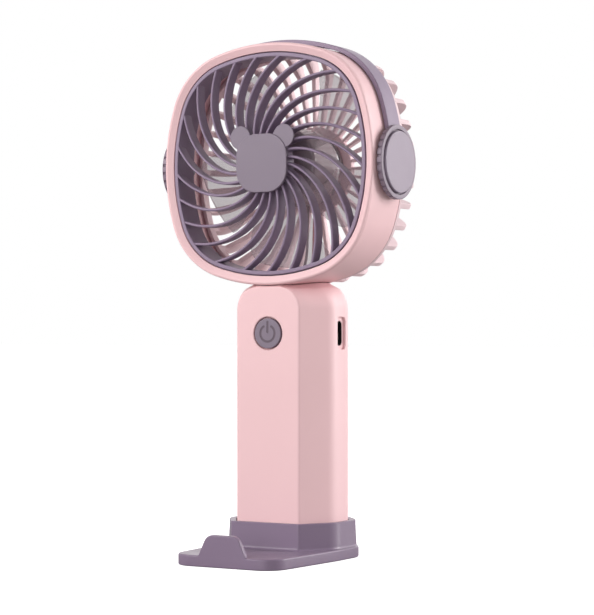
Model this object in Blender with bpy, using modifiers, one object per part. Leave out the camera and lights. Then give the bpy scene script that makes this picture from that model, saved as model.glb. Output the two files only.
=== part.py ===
"""Handheld fan that plugs into a phone stand.

The frame is metres, +Z up, the grille faces -Y, and the origin lies under the middle of the
handle on the surface that the stand rests on. The head's outline is a rounded square of eight
arcs; an offset is a distance measured outward from that outline.
"""
import math

import bmesh
import bpy
from mathutils import Matrix, Vector

MM = 0.001
GAP = 0.3 * MM

# Head: the rounded square outline of the grille opening, and the shell round it.
HEAD_Z = 151.4 * MM
OPENING_HALF = 43.0 * MM
SIDE_ARC = 73.3 * MM
CORNER_ARC = 26.2 * MM
SHELL_OFFSET = 3.45 * MM
SHELL_WALL = 1.7 * MM
RIM_Y = -18.9 * MM
LIP_REAR_Y = -15.9 * MM
SHELL_REAR_Y = 5.0 * MM
REAR_FACE_Y = 21.0 * MM

# Front grille.
RIB_COUNT = 25
RIB_STEPS = 5
RIB_SWEEP = math.radians(49.0)
RIB_THICK = 1.0 * MM
RIB_FRONT_Y = -17.9 * MM
RIB_DEPTH_HUB = 6.0 * MM
RIB_DEPTH_RING = 5.0 * MM
RIB_FRONT_DROP = 0.15 * MM
GRILLE_DOME = 3.2 * MM
GRILLE_HUB_RADIUS = 10.6 * MM
GRILLE_HUB_REAR_Y = -15.5 * MM
GRILLE_HUB_FRONT_Y = -20.8 * MM
SKIRT_OFFSET = -0.45 * MM
SKIRT_WALL = 1.5 * MM
SKIRT_REAR_Y = -3.2 * MM
SKIRT_FLANGE_OFFSET = 1.4 * MM
SKIRT_FLANGE_THICK = 1.4 * MM

# Hub badge: a rounded square plate with two round lobes.
BADGE_HALF = 11.2 * MM
BADGE_CORNER = 8.6 * MM
BADGE_FRONT_Y = -22.6 * MM
BADGE_THICK = 1.4 * MM
LOBE_RADIUS = 4.5 * MM
LOBE_X = 9.6 * MM
LOBE_Z = 10.0 * MM
LOBE_STEP = 0.5 * MM

# Rear grille.
FIN_COUNT = 36
FIN_THICK_TIP = 2.2 * MM
FIN_THICK_HUB = 1.0 * MM
FIN_CORNER_RADIUS = 8.0 * MM
FIN_CORNER_STEPS = 3
FIN_DEPTH = 3.2 * MM
FIN_ROOT_Y = 6.3 * MM
REAR_RING_DEPTH = 2.0 * MM
REAR_SPIGOT_Y = 3.0 * MM
REAR_DISC_RADIUS = 17.0 * MM
REAR_DISC_FRONT_Y = 18.0 * MM
SCREW_SINK_RADIUS = 2.5 * MM
FIN_SHOULDER_INSET = 7.2 * MM
FIN_SHOULDER_DEPTH = 10.5 * MM

# Headband and the discs on its two ends.
BAND_OFFSET = 5.5 * MM
BAND_THICK = 1.75 * MM
BAND_FRONT_Y = -8.3 * MM
BAND_REAR_Y = 1.4 * MM
DISC_Y = -2.9 * MM
DISC_Z = 151.1 * MM
RING_RADIUS = 14.1 * MM
RING_FACE_X = 48.97 * MM
RING_INNER_X = 46.75 * MM
CAP_RADIUS = 11.8 * MM
CAP_FACE_X = 49.7 * MM
STUD_RADIUS = 1.5 * MM
STUD_END_X = 43.5 * MM
BAND_TONGUE_BELOW = 5.2 * MM
NOTCH_COUNT = 28
NOTCH_HALF = 0.45 * MM
NOTCH_DEPTH = 0.45 * MM
NOTCH_END_X = 48.35 * MM

# Impeller and motor, on the head's axis.
BLADE_COUNT = 5
BLADE_RADIUS = 39.3 * MM
BLADE_THICK = 1.1 * MM
BLADE_MIDDLE_Y = 0.8 * MM
BLADE_CAMBER = 1.2 * MM
BLADE_HEIGHT_ROOT = 15.0 * MM
BLADE_HEIGHT_TIP = 12.0 * MM
BLADE_SPAN_ROOT = math.radians(46.0)
BLADE_SPAN_TIP = math.radians(48.0)
BLADE_START = math.radians(-27.0)
BLADE_SWEEP = math.radians(10.0)
HUB_RADIUS = 15.3 * MM
HUB_FRONT_Y = -8.0 * MM
HUB_REAR_Y = 10.0 * MM
CAN_RADIUS = 13.6 * MM
CAN_FRONT_Y = 4.0 * MM
CAN_REAR_Y = 15.0 * MM
SHAFT_RADIUS = 1.0 * MM
TUBE_RADIUS = 3.6 * MM
TUBE_BORE = 2.8 * MM
MOTOR_BASE_Y = 15.8 * MM
MOTOR_BASE_THICK = 1.9 * MM
MOTOR_SCREW_RADIUS = 9.0 * MM
MOTOR_SINK_Y = 19.8 * MM
HUB_WALL = 1.3 * MM
CAN_WALL = 0.8 * MM
MAGNET_INNER = 11.5 * MM
MAGNET_FRONT_Y = 5.4 * MM
MAGNET_REAR_Y = 14.0 * MM
SHAFT_FRONT_Y = -6.0 * MM
SHAFT_REAR_Y = 15.2 * MM
BEARING_LENGTH = 2.4 * MM
COIL_RADIUS = 9.4 * MM
STATOR_Y = 10.3 * MM
STATOR_DEPTH = 6.0 * MM
STATOR_TEETH = 9

# Handle: flat facet in front, slanted cheeks, rounded shoulders.
HANDLE_HALF = 21.84 * MM
FACET_HALF = 13.74 * MM
HANDLE_DEPTH = 17.5 * MM
FRONT_CHEEK_DEPTH = 13.2 * MM
BACK_CHEEK_DEPTH = 10.0 * MM
CHEEK_ROUND = 9.0 * MM
HANDLE_WALL = 1.9 * MM
HANDLE_BOTTOM_Z = 4.6 * MM
SHOULDER_Z = 96.0 * MM
SHOULDER_RADIUS = 10.0 * MM
FACET_RADIUS = 8.5 * MM
HANDLE_TOP_Z = 106.0 * MM
BACK_SPLIT_Y = 12.0 * MM
BOSS_X = 11.0 * MM
BOSS_HEIGHTS = (11.0 * MM, 97.8 * MM)
BOSS_RADIUS = 3.0 * MM
SCREW_RADIUS = 1.2 * MM
SCREW_HEAD_RADIUS = 2.2 * MM
SCREW_HEAD_THICK = 1.0 * MM
SCREW_TIP_Y = 5.0 * MM
HANDLE_SINK_Y = 15.8 * MM
FACET_TOP_Z = 104.2 * MM
CAVITY_ROOF_Z = 103.0 * MM

# Parts inside and on the handle.
BUTTON_Z = 86.5 * MM
BUTTON_HOLE = 6.35 * MM
BUTTON_RADIUS = 5.8 * MM
BUTTON_PROUD = 0.15 * MM
BUTTON_EDGE = 0.3 * MM
BUTTON_FOOT_RADIUS = 7.3 * MM
BUTTON_FOOT_THICK = 0.9 * MM
PLUNGER_RADIUS = 1.5 * MM
PLUNGER_END_Y = -2.0 * MM
SWITCH_HALF = 3.0 * MM
SWITCH_FRONT_Y = -0.6 * MM
SWITCH_BORE = 1.95 * MM
SWITCH_FLOOR_Y = 1.3 * MM
STEM_RADIUS = 1.6 * MM
STEM_FRONT_Y = -1.7 * MM
STEM_REAR_Y = 0.4 * MM
USB_Y = 1.5 * MM
USB_Z = 86.5 * MM
USB_FLOOR_X = 20.45 * MM
USB_RECESS_HALF = (3.05 * MM, 6.2 * MM)
USB_RECESS_CORNER = 1.6 * MM
USB_SLOT_HALF = (1.88 * MM, 4.77 * MM)
USB_SLOT_CORNER = 1.8 * MM
USB_PAD_HALF = (3.7 * MM, 7.2 * MM)
USB_PAD_X = 17.9 * MM
SOCKET_FRONT_X = 20.15 * MM
SOCKET_LENGTH = 7.3 * MM
SOCKET_WALL = 0.3 * MM
SOCKET_BACK_WALL = 1.9 * MM
TONGUE_HALF = (0.35 * MM, 3.3 * MM)
TONGUE_FRONT_X = 19.4 * MM
BATTERY_RADIUS = 9.2 * MM
BATTERY_BOTTOM_Z = 14.8 * MM
BATTERY_LENGTH = 65.0 * MM
BATTERY_NUB = 2.8 * MM
BATTERY_NUB_HIGH = 1.0 * MM
BOARD_Y = 3.5 * MM
BOARD_THICK = 1.2 * MM
BOARD_X = (-11.0 * MM, 17.4 * MM)
BOARD_Z = (81.6 * MM, 94.0 * MM)
BOARD_HOLE_X = -9.0 * MM
BOARD_HOLE_Z = (83.6 * MM, 92.0 * MM)
BOARD_HOLE_RADIUS = 1.1 * MM
WIRE_RADIUS = 0.6 * MM

# Neck tube between the handle and the head.
NECK_HALF = 7.0 * MM
NECK_FRONT_Y = -10.5 * MM
NECK_REAR_Y = 2.5 * MM
NECK_WALL = 2.2 * MM
NECK_BOTTOM_Z = 99.6 * MM
NECK_FLANGE_Z = 107.65 * MM
NECK_TOP_Z = 108.5 * MM
NECK_FLANGE_WIDE = 2.0 * MM
WIRE_NOTCH_HALF = 3.0 * MM
WIRE_NOTCH_DEEP = 1.9 * MM
CLIP_Z = 101.5 * MM
CLIP_THICK = 0.9 * MM
CLIP_HALF = 9.2 * MM
CLIP_BITE = 1.2 * MM
CLIP_BACK = 2.5 * MM

# Phone stand.
PLATE_THICK = 4.3 * MM
PLATE_FRONT_Y = -50.5 * MM
PLATE_FRONT_HALF = 22.5 * MM
PLATE_SIDE_FRONT_Y = -8.0 * MM
PLATE_FRONT_CORNER = 9.0 * MM
PLATE_MARGIN = 3.9 * MM
COLLAR_TOP_Z = 14.4 * MM
COLLAR_MARGIN = 2.3 * MM
LIP_BASE_HALF = 10.3 * MM
LIP_TOP_HALF = 6.6 * MM
LIP_TOP_Z = 12.1 * MM
LIP_ROUND = 4.0 * MM
LIP_THICK = 2.2 * MM

TURN_STEPS = 36
SMALL_STEPS = 20
SCREW_STEPS = 12
HOLE_SEGMENTS = 16
WIRE_STEPS = 2

# How far a cutter runs past what it cuts.
CLEAR = 60 * MM


# ---------------------------------------------------------------- scene, materials, helpers

def clear_scene():
    for item in list(bpy.data.objects):
        bpy.data.objects.remove(item, do_unlink=True)


def new_collection(name):
    collection = bpy.data.collections.new(name)
    bpy.context.scene.collection.children.link(collection)
    return collection


def new_material(name, colour, roughness, metallic=0.0, alpha=1.0):
    material = bpy.data.materials.new(name)
    material.use_nodes = True
    shader = material.node_tree.nodes["Principled BSDF"]
    shader.inputs["Base Color"].default_value = (*colour, 1.0)
    shader.inputs["Roughness"].default_value = roughness
    shader.inputs["Metallic"].default_value = metallic
    shader.inputs["Alpha"].default_value = alpha
    material.diffuse_color = (*colour, alpha)
    return material


clear_scene()
PARTS = new_collection("handheld_fan")
CUTTERS = new_collection("cutters")

PINK = new_material("pink_plastic", (0.83, 0.53, 0.56), 0.42)
MAUVE = new_material("mauve_plastic", (0.28, 0.22, 0.30), 0.45)
LIGHT_MAUVE = new_material("light_mauve_plastic", (0.42, 0.36, 0.44), 0.42)
SMOKE = new_material("smoke_plastic", (0.30, 0.26, 0.25), 0.2, alpha=0.5)
STEEL = new_material("steel", (0.60, 0.60, 0.62), 0.3, 1.0)
COPPER = new_material("copper", (0.72, 0.38, 0.22), 0.35, 1.0)
GREEN_BOARD = new_material("board_green", (0.03, 0.18, 0.09), 0.5)
BLACK = new_material("black_plastic", (0.02, 0.02, 0.02), 0.5)
CELL_WRAP = new_material("cell_wrap", (0.05, 0.22, 0.45), 0.35)
RED_WIRE = new_material("red_wire", (0.55, 0.03, 0.03), 0.45)


def link(name, mesh, material, collection):
    item = bpy.data.objects.new(name, mesh)
    collection.objects.link(item)
    if material is not None:
        mesh.materials.clear()
        mesh.materials.append(material)
    return item


def as_cutter(item):
    item.hide_render = True
    item.display_type = "WIRE"
    return item


def object_from_bmesh(name, bm, material, collection=PARTS):
    bmesh.ops.recalc_face_normals(bm, faces=bm.faces)
    mesh = bpy.data.meshes.new(name)
    bm.to_mesh(mesh)
    bm.free()
    item = link(name, mesh, material, collection)
    return as_cutter(item) if collection is CUTTERS else item


def smooth(item, degrees=35.0):
    item.data.shade_smooth()
    item.data.set_sharp_from_angle(angle=math.radians(degrees))
    return item


def boolean(target, other, operation):
    modifier = target.modifiers.new(operation.lower(), "BOOLEAN")
    modifier.operation = operation
    modifier.solver = "EXACT"
    modifier.object = other
    return target


def cut(target, *others):
    for other in others:
        boolean(target, other, "DIFFERENCE")
    return target


def join(target, *others):
    for other in others:
        boolean(target, other, "UNION")
    return target


def block(name, low, high, material=None, collection=CUTTERS):
    """A box between two opposite corners."""
    low, high = Vector(low), Vector(high)
    bm = bmesh.new()
    size = high - low
    place = Matrix.Translation((low + high) / 2) @ Matrix.Diagonal((*size, 1.0))
    bmesh.ops.create_cube(bm, size=1.0, matrix=place)
    return object_from_bmesh(name, bm, material, collection)


def rod(name, start, end, radius, material=None, collection=CUTTERS, segments=HOLE_SEGMENTS):
    """A round bar from start to end."""
    start, end = Vector(start), Vector(end)
    axis = end - start
    turn = axis.to_track_quat("Z", "Y").to_matrix().to_4x4()
    bm = bmesh.new()
    bmesh.ops.create_cone(bm, cap_ends=True, segments=segments, radius1=radius, radius2=radius,
                          depth=axis.length, matrix=Matrix.Translation((start + end) / 2) @ turn)
    return object_from_bmesh(name, bm, material, collection)


def turned(name, profile, location, turn, material, collection=PARTS, steps=TURN_STEPS):
    """A turned piece: profile of (radius, height) pairs round local Z, moved by turn."""
    mesh = bpy.data.meshes.new(name + "_profile")
    points = [(radius, 0.0, height) for radius, height in profile]
    edges = [(index, index + 1) for index in range(len(points) - 1)]
    mesh.from_pydata(points, edges, [])
    item = link(name, mesh, material, collection)
    screw = item.modifiers.new("screw", "SCREW")
    screw.axis = "Z"
    screw.angle = 2 * math.pi
    screw.steps = steps
    screw.render_steps = steps
    screw.use_merge_vertices = True
    screw.merge_threshold = 0.00001
    screw.use_smooth_shade = False
    item.matrix_world = Matrix.Translation(location) @ turn
    return as_cutter(item) if collection is CUTTERS else item


def disc_profile(radius, low, high):
    return [(0.0, high), (radius, high), (radius, low), (0.0, low)]


def mesh_from_curve(curve_object, name, material, collection):
    """Turn a curve object into a welded mesh object at the same place; the curve goes."""
    bpy.context.view_layer.update()
    graph = bpy.context.evaluated_depsgraph_get()
    mesh = bpy.data.meshes.new_from_object(curve_object.evaluated_get(graph))
    place = curve_object.matrix_world.copy()
    bm = bmesh.new()
    bm.from_mesh(mesh)
    bmesh.ops.remove_doubles(bm, verts=bm.verts, dist=1e-7)
    bmesh.ops.dissolve_degenerate(bm, edges=bm.edges, dist=1e-7)
    item = object_from_bmesh(name, bm, material, collection)
    item.matrix_world = place
    data = curve_object.data
    bpy.data.objects.remove(curve_object, do_unlink=True)
    bpy.data.curves.remove(data)
    bpy.data.meshes.remove(mesh)
    return item


def poly_curve(name, loops, dimensions, cyclic=True):
    curve = bpy.data.curves.new(name, "CURVE")
    curve.dimensions = dimensions
    for loop in loops:
        spline = curve.splines.new("POLY")
        spline.points.add(len(loop) - 1)
        for point, place in zip(spline.points, loop):
            point.co = (*place, 1.0)
        spline.use_cyclic_u = cyclic
    item = bpy.data.objects.new(name, curve)
    bpy.context.scene.collection.objects.link(item)
    return item


FACING_FRONT = Matrix.Rotation(math.pi / 2, 4, "X")


def plate(name, loops, centre, thickness, turn, material=None, collection=CUTTERS):
    """A flat plate: closed outlines (the inner ones are holes) given half its thickness each way."""
    item = poly_curve(name + "_outline", [[(u, v, 0.0) for u, v in loop] for loop in loops], "2D")
    item.data.fill_mode = "BOTH"
    item.data.extrude = thickness / 2
    item.matrix_world = Matrix.Translation(centre) @ turn
    return mesh_from_curve(item, name, material, collection)


def loft(name, sections, material=None, collection=CUTTERS):
    """A closed body through level sections, each a height and the same number of (x, y) pairs."""
    bm = bmesh.new()
    rings = []
    for height, points in sections:
        rings.append([bm.verts.new((x, y, height)) for x, y in points])
    count = len(rings[0])
    for below, above in zip(rings, rings[1:]):
        for index in range(count):
            after = (index + 1) % count
            bm.faces.new((below[index], below[after], above[after], above[index]))
    bm.faces.new(reversed(rings[0]))
    bm.faces.new(rings[-1])
    return object_from_bmesh(name, bm, material, collection)


def wire(name, route, material):
    """A lead through the given points, on a smooth curve read at even steps."""
    points = [Vector(place) for place in route]
    padded = [points[0] * 2 - points[1], *points, points[-1] * 2 - points[-2]]
    path = []
    for index in range(len(points) - 1):
        before, start, end, after = padded[index:index + 4]
        for step in range(WIRE_STEPS):
            t = step / WIRE_STEPS
            path.append(0.5 * (2 * start + (end - before) * t
                               + (2 * before - 5 * start + 4 * end - after) * t ** 2
                               + (3 * start - before - 3 * end + after) * t ** 3))
    path.append(points[-1])
    item = poly_curve(name + "_route", [path], "3D", cyclic=False)
    item.data.bevel_depth = WIRE_RADIUS
    item.data.bevel_resolution = 1
    item.data.use_fill_caps = True
    return mesh_from_curve(item, name, material, PARTS)


# ---------------------------------------------------------------- the head's outline

def outline_centres():
    """The side arc's centre (on the axis), the corner arc's (on the diagonal), half the side arc."""
    side_centre = OPENING_HALF - SIDE_ARC
    half_angle = math.pi / 4 - math.asin(-side_centre / ((SIDE_ARC - CORNER_ARC) * math.sqrt(2)))
    corner_centre = side_centre + (SIDE_ARC - CORNER_ARC) * math.cos(half_angle)
    return side_centre, corner_centre, half_angle


def rounded_square(offset, side_steps=6, corner_steps=6):
    """The head's outline moved outward by offset, as (x, z) pairs about its centre."""
    side_centre, corner_centre, half_angle = outline_centres()
    arcs = ((Vector((side_centre, 0.0)), SIDE_ARC, -half_angle, half_angle, side_steps),
            (Vector((corner_centre, corner_centre)), CORNER_ARC, half_angle,
             math.pi / 2 - half_angle, corner_steps))
    quarter = []
    for centre, radius, first, last, steps in arcs:
        for step in range(steps):
            angle = first + (last - first) * step / steps
            quarter.append(centre + (radius + offset) * Vector((math.cos(angle), math.sin(angle))))
    points = []
    for turn in range(4):
        spin = Matrix.Rotation(turn * math.pi / 2, 2)
        points.extend(tuple(spin @ point) for point in quarter)
    return points


def outline_radius(angle, offset):
    """The distance from the head's centre to its outline, moved outward by offset."""
    side_centre, corner_centre, half_angle = outline_centres()
    folded = abs((angle + math.pi / 4) % (math.pi / 2) - math.pi / 4)
    direction = Vector((math.cos(folded), math.sin(folded)))
    distance = 0.0
    for centre, radius in ((Vector((side_centre, 0.0)), SIDE_ARC),
                           (Vector((corner_centre, corner_centre)), CORNER_ARC)):
        along = direction.dot(centre)
        reach = radius + offset
        distance = along + math.sqrt(reach ** 2 - centre.length_squared + along ** 2)
        hit = direction * distance - centre
        if radius == CORNER_ARC or math.atan2(hit.y, hit.x) <= half_angle:
            return distance
    return distance


def outline_ring(name, profile, material=None, collection=CUTTERS):
    """The head's outline swept with a closed profile of (offset, y) pairs."""
    path = poly_curve(name + "_path", [[(x, z, 0.0) for x, z in rounded_square(0.0)]], "3D")
    section = poly_curve(name + "_section", [[(u, -y, 0.0) for u, y in profile]], "2D")
    path.data.twist_mode = "Z_UP"
    path.data.bevel_mode = "OBJECT"
    path.data.bevel_object = section
    path.matrix_world = Matrix.Translation((0.0, 0.0, HEAD_Z)) @ FACING_FRONT
    item = mesh_from_curve(path, name, material, collection)
    bpy.data.objects.remove(section, do_unlink=True)
    return item


def outline_prism(name, offset, front_y, rear_y):
    """A solid block of the head's outline between two depths."""
    centre = (0.0, (front_y + rear_y) / 2, HEAD_Z)
    return plate(name, [rounded_square(offset)], centre, rear_y - front_y, FACING_FRONT)


# ---------------------------------------------------------------- head shell and grilles

def make_front_shell():
    outer = SHELL_OFFSET
    inner = SHELL_OFFSET - SHELL_WALL
    profile = [
        (0.0, RIM_Y + 1.2 * MM), (1.9 * MM, RIM_Y + 0.15 * MM), (2.5 * MM, RIM_Y),
        (3.0 * MM, RIM_Y + 0.25 * MM), (3.25 * MM, RIM_Y + 0.8 * MM), (outer, RIM_Y + 1.5 * MM),
        (outer, SHELL_REAR_Y), (inner, SHELL_REAR_Y), (inner, LIP_REAR_Y), (0.0, LIP_REAR_Y),
    ]
    shell = outline_ring("front_shell", profile, PINK, PARTS)
    cut(shell, block("neck_hole_in_head",
                     (-NECK_HALF - GAP, NECK_FRONT_Y - GAP, HEAD_Z - 50 * MM),
                     (NECK_HALF + GAP, NECK_REAR_Y + GAP, HEAD_Z - 40 * MM)))
    for side, label in ((1, "right"), (-1, "left")):
        cut(shell, rod("stud_hole_" + label, (side * STUD_END_X, DISC_Y, DISC_Z),
                       (side * CLEAR, DISC_Y, DISC_Z), STUD_RADIUS + GAP))
    return smooth(shell)


def rib_route(start_angle):
    """One rib's middle line in the head's (x, z) plane; it ends inside the skirt's wall."""
    start = GRILLE_HUB_RADIUS - 1.5 * MM
    reach = OPENING_HALF - start

    def angle_at(radius):
        return start_angle - RIB_SWEEP * (radius - start) / reach

    end = OPENING_HALF
    for _ in range(30):
        end = outline_radius(angle_at(end), SKIRT_OFFSET - SKIRT_WALL / 2)
    route = []
    for step in range(RIB_STEPS + 1):
        radius = start + (end - start) * step / RIB_STEPS
        angle = angle_at(radius)
        route.append((radius * math.cos(angle), radius * math.sin(angle)))
    return route


def rib_front(radius):
    """The depth of the ribs' front edges: a shallow dome over the opening."""
    return RIB_FRONT_Y - GRILLE_DOME * max(0.0, 1.0 - (radius / OPENING_HALF) ** 2)


def make_rib(index):
    route = rib_route(2 * math.pi * index / RIB_COUNT)
    bm = bmesh.new()
    columns = []
    for x, z in route:
        radius = math.hypot(x, z)
        share = radius / OPENING_HALF
        depth = RIB_DEPTH_HUB + (RIB_DEPTH_RING - RIB_DEPTH_HUB) * share
        front = rib_front(radius) + RIB_FRONT_DROP * share
        columns.append((bm.verts.new((x, front, z)), bm.verts.new((x, front + depth, z))))
    for (front_a, rear_a), (front_b, rear_b) in zip(columns, columns[1:]):
        bm.faces.new((front_a, rear_a, rear_b, front_b))
    rib = object_from_bmesh(f"rib_{index:02d}", bm, None, CUTTERS)
    rib.location = (0.0, 0.0, HEAD_Z)
    solid = rib.modifiers.new("thickness", "SOLIDIFY")
    solid.thickness = RIB_THICK
    solid.offset = 0.0
    return rib


def make_front_grille():
    outer = SKIRT_OFFSET
    inner = SKIRT_OFFSET - SKIRT_WALL
    flange_front = LIP_REAR_Y + GAP
    flange_rear = flange_front + SKIRT_FLANGE_THICK
    profile = [
        (outer, RIB_FRONT_Y), (outer, flange_front), (SKIRT_FLANGE_OFFSET, flange_front),
        (SKIRT_FLANGE_OFFSET, flange_rear), (outer, flange_rear), (outer, SKIRT_REAR_Y),
        (inner, SKIRT_REAR_Y), (inner, RIB_FRONT_Y),
    ]
    grille = outline_ring("front_grille", profile, MAUVE, PARTS)
    hub = turned("grille_hub",
                 disc_profile(GRILLE_HUB_RADIUS, -GRILLE_HUB_REAR_Y, -GRILLE_HUB_FRONT_Y),
                 (0.0, 0.0, HEAD_Z), FACING_FRONT, None, CUTTERS)
    join(grille, hub)
    for index in range(RIB_COUNT):
        join(grille, make_rib(index))
    return smooth(grille)


def rounded_rectangle(half_width, half_height, radius, steps=6):
    points = []
    for quarter, (sx, sy) in enumerate(((1, 1), (-1, 1), (-1, -1), (1, -1))):
        for step in range(steps + 1):
            angle = (quarter + step / steps) * math.pi / 2
            points.append((sx * (half_width - radius) + radius * math.cos(angle),
                           sy * (half_height - radius) + radius * math.sin(angle)))
    return points


def make_hub_badge():
    centre_y = BADGE_FRONT_Y + BADGE_THICK / 2
    badge = plate("hub_badge", [rounded_rectangle(BADGE_HALF, BADGE_HALF, BADGE_CORNER)],
                  (0.0, centre_y, HEAD_Z), BADGE_THICK, FACING_FRONT, LIGHT_MAUVE, PARTS)
    for side in (1, -1):
        front = (side * LOBE_X, BADGE_FRONT_Y + LOBE_STEP, HEAD_Z + LOBE_Z)
        rear = (side * LOBE_X, BADGE_FRONT_Y + BADGE_THICK - 0.1 * MM, HEAD_Z + LOBE_Z)
        join(badge, rod(f"badge_lobe_{side}", front, rear, LOBE_RADIUS, segments=24))
    return smooth(badge)


def fin_outline(angle):
    """One rear fin in its radial plane, as (radius, y) pairs: down the side, round, and inward."""
    edge = outline_radius(angle, SHELL_OFFSET - 0.05 * MM)
    inner = outline_radius(angle, 0.6 * MM)
    arc_radius = edge - FIN_CORNER_RADIUS
    arc_y = REAR_FACE_Y - FIN_CORNER_RADIUS
    points = [(inner, FIN_ROOT_Y), (edge, FIN_ROOT_Y)]
    for step in range(FIN_CORNER_STEPS + 1):
        turn = math.pi / 2 * step / FIN_CORNER_STEPS
        points.append((arc_radius + FIN_CORNER_RADIUS * math.cos(turn),
                       arc_y + FIN_CORNER_RADIUS * math.sin(turn)))
    hub = REAR_DISC_RADIUS - 1.5 * MM
    points += [(hub, REAR_FACE_Y), (hub, REAR_FACE_Y - FIN_DEPTH + 0.4 * MM),
               (inner - FIN_SHOULDER_INSET, REAR_FACE_Y - FIN_DEPTH),
               (inner, REAR_FACE_Y - FIN_SHOULDER_DEPTH)]
    return points


def make_fin(index):
    angle = 2 * math.pi * index / FIN_COUNT
    item = poly_curve(f"fin_outline_{index:02d}",
                      [[(radius, -y, 0.0) for radius, y in fin_outline(angle)]], "2D")
    item.data.fill_mode = "BOTH"
    item.data.extrude = FIN_THICK_TIP / 2
    fin = mesh_from_curve(item, f"fin_{index:02d}", None, CUTTERS)
    for vertex in fin.data.vertices:
        share = (vertex.co.x - REAR_DISC_RADIUS) / (OPENING_HALF - REAR_DISC_RADIUS)
        share = min(1.0, max(0.0, share))
        vertex.co.z *= (FIN_THICK_HUB + (FIN_THICK_TIP - FIN_THICK_HUB) * share) / FIN_THICK_TIP
    lay_flat = Matrix.Rotation(math.pi, 4, "X")
    spin = Matrix.Rotation(-angle, 4, "Y")
    fin.matrix_world = Matrix.Translation((0.0, 0.0, HEAD_Z)) @ spin @ lay_flat
    return fin


def make_rear_grille():
    outer = SHELL_OFFSET
    spigot = SHELL_OFFSET - SHELL_WALL - GAP
    front = SHELL_REAR_Y + GAP
    rear = front + REAR_RING_DEPTH
    bevel = 0.6 * MM
    profile = [
        (outer, front), (outer, rear), (bevel, rear), (0.0, rear - bevel),
        (0.0, REAR_SPIGOT_Y), (spigot, REAR_SPIGOT_Y), (spigot, front),
    ]
    grille = outline_ring("rear_grille", profile, PINK, PARTS)
    disc = turned("rear_disc", disc_profile(REAR_DISC_RADIUS, -REAR_FACE_Y, -REAR_DISC_FRONT_Y),
                  (0.0, 0.0, HEAD_Z), FACING_FRONT, None, CUTTERS)
    join(grille, disc)
    for index in range(FIN_COUNT):
        join(grille, make_fin(index))
    for side in (1, -1):
        place = side * MOTOR_SCREW_RADIUS
        cut(grille, rod(f"motor_screw_hole_{side}", (place, MOTOR_BASE_Y, HEAD_Z),
                        (place, CLEAR, HEAD_Z), SCREW_RADIUS + GAP),
            rod(f"motor_screw_sink_{side}", (place, MOTOR_SINK_Y, HEAD_Z),
                (place, CLEAR, HEAD_Z), SCREW_SINK_RADIUS))
    return smooth(grille)


# ---------------------------------------------------------------- headband and side discs

def make_headband():
    inner = BAND_OFFSET - BAND_THICK
    profile = [(BAND_OFFSET, BAND_FRONT_Y), (BAND_OFFSET, BAND_REAR_Y),
               (inner, BAND_REAR_Y), (inner, BAND_FRONT_Y)]
    band = outline_ring("headband", profile, MAUVE, PARTS)
    cut(band, block("below_the_band", (-CLEAR, -CLEAR, HEAD_Z - CLEAR),
                    (CLEAR, CLEAR, DISC_Z - BAND_TONGUE_BELOW)))
    for side, label in ((1, "right"), (-1, "left")):
        outside = side * (RING_INNER_X + 0.8 * MM)
        cut(band, rod("tongue_step_" + label, (outside, DISC_Y, DISC_Z),
                      (side * CLEAR, DISC_Y, DISC_Z), RING_RADIUS + GAP, segments=48))
        cut(band, rod("tongue_hole_" + label, (side * STUD_END_X, DISC_Y, DISC_Z),
                      (side * CLEAR, DISC_Y, DISC_Z), STUD_RADIUS + GAP))
    return smooth(band)


def make_side_ring(side, label):
    """A cup over the band's end: a web, an outer wall with a slot, and a recess for the cap."""
    floor = RING_INNER_X + 1.1 * MM
    web = floor + 0.5 * MM
    rim = RING_RADIUS - 2.3 * MM
    seat = CAP_RADIUS + GAP
    profile = [
        (RING_RADIUS, RING_FACE_X), (RING_RADIUS, RING_INNER_X + 0.15 * MM),
        (rim, RING_INNER_X + 0.15 * MM), (rim, floor), (STUD_RADIUS + GAP, floor),
        (STUD_RADIUS + GAP, web), (seat, web), (seat, RING_FACE_X), (RING_RADIUS, RING_FACE_X),
    ]
    turn = Matrix.Rotation(side * math.pi / 2, 4, "Y")
    ring = turned("side_ring_" + label, profile, (0.0, DISC_Y, DISC_Z), turn, LIGHT_MAUVE,
                  steps=NOTCH_COUNT)
    low, high = sorted((side * floor, side * (RING_INNER_X - 0.5 * MM)))
    cut(ring, block("band_slot_" + label, (low, BAND_FRONT_Y - GAP, DISC_Z),
                    (high, BAND_REAR_Y + GAP, DISC_Z + 16 * MM)),
        edge_notches(side, label))
    return smooth(ring)


def edge_notches(side, label):
    """The grip notches round the ring's inner edge, as one cutter of many small blocks."""
    bm = bmesh.new()
    low, high = sorted((side * (RING_INNER_X - 0.5 * MM), side * NOTCH_END_X))
    size = Vector((high - low, 2 * NOTCH_HALF, 2 * NOTCH_DEPTH))
    flat = RING_RADIUS * math.cos(math.pi / NOTCH_COUNT)
    for index in range(NOTCH_COUNT):
        spin = Matrix.Rotation(2 * math.pi * (index + 0.5) / NOTCH_COUNT, 4, "X")
        place = Matrix.Translation(((low + high) / 2, 0.0, flat))
        bmesh.ops.create_cube(bm, size=1.0, matrix=spin @ place @ Matrix.Diagonal((*size, 1.0)))
    notches = object_from_bmesh("edge_notches_" + label, bm, None, CUTTERS)
    notches.location = (0.0, DISC_Y, DISC_Z)
    return notches


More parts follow.
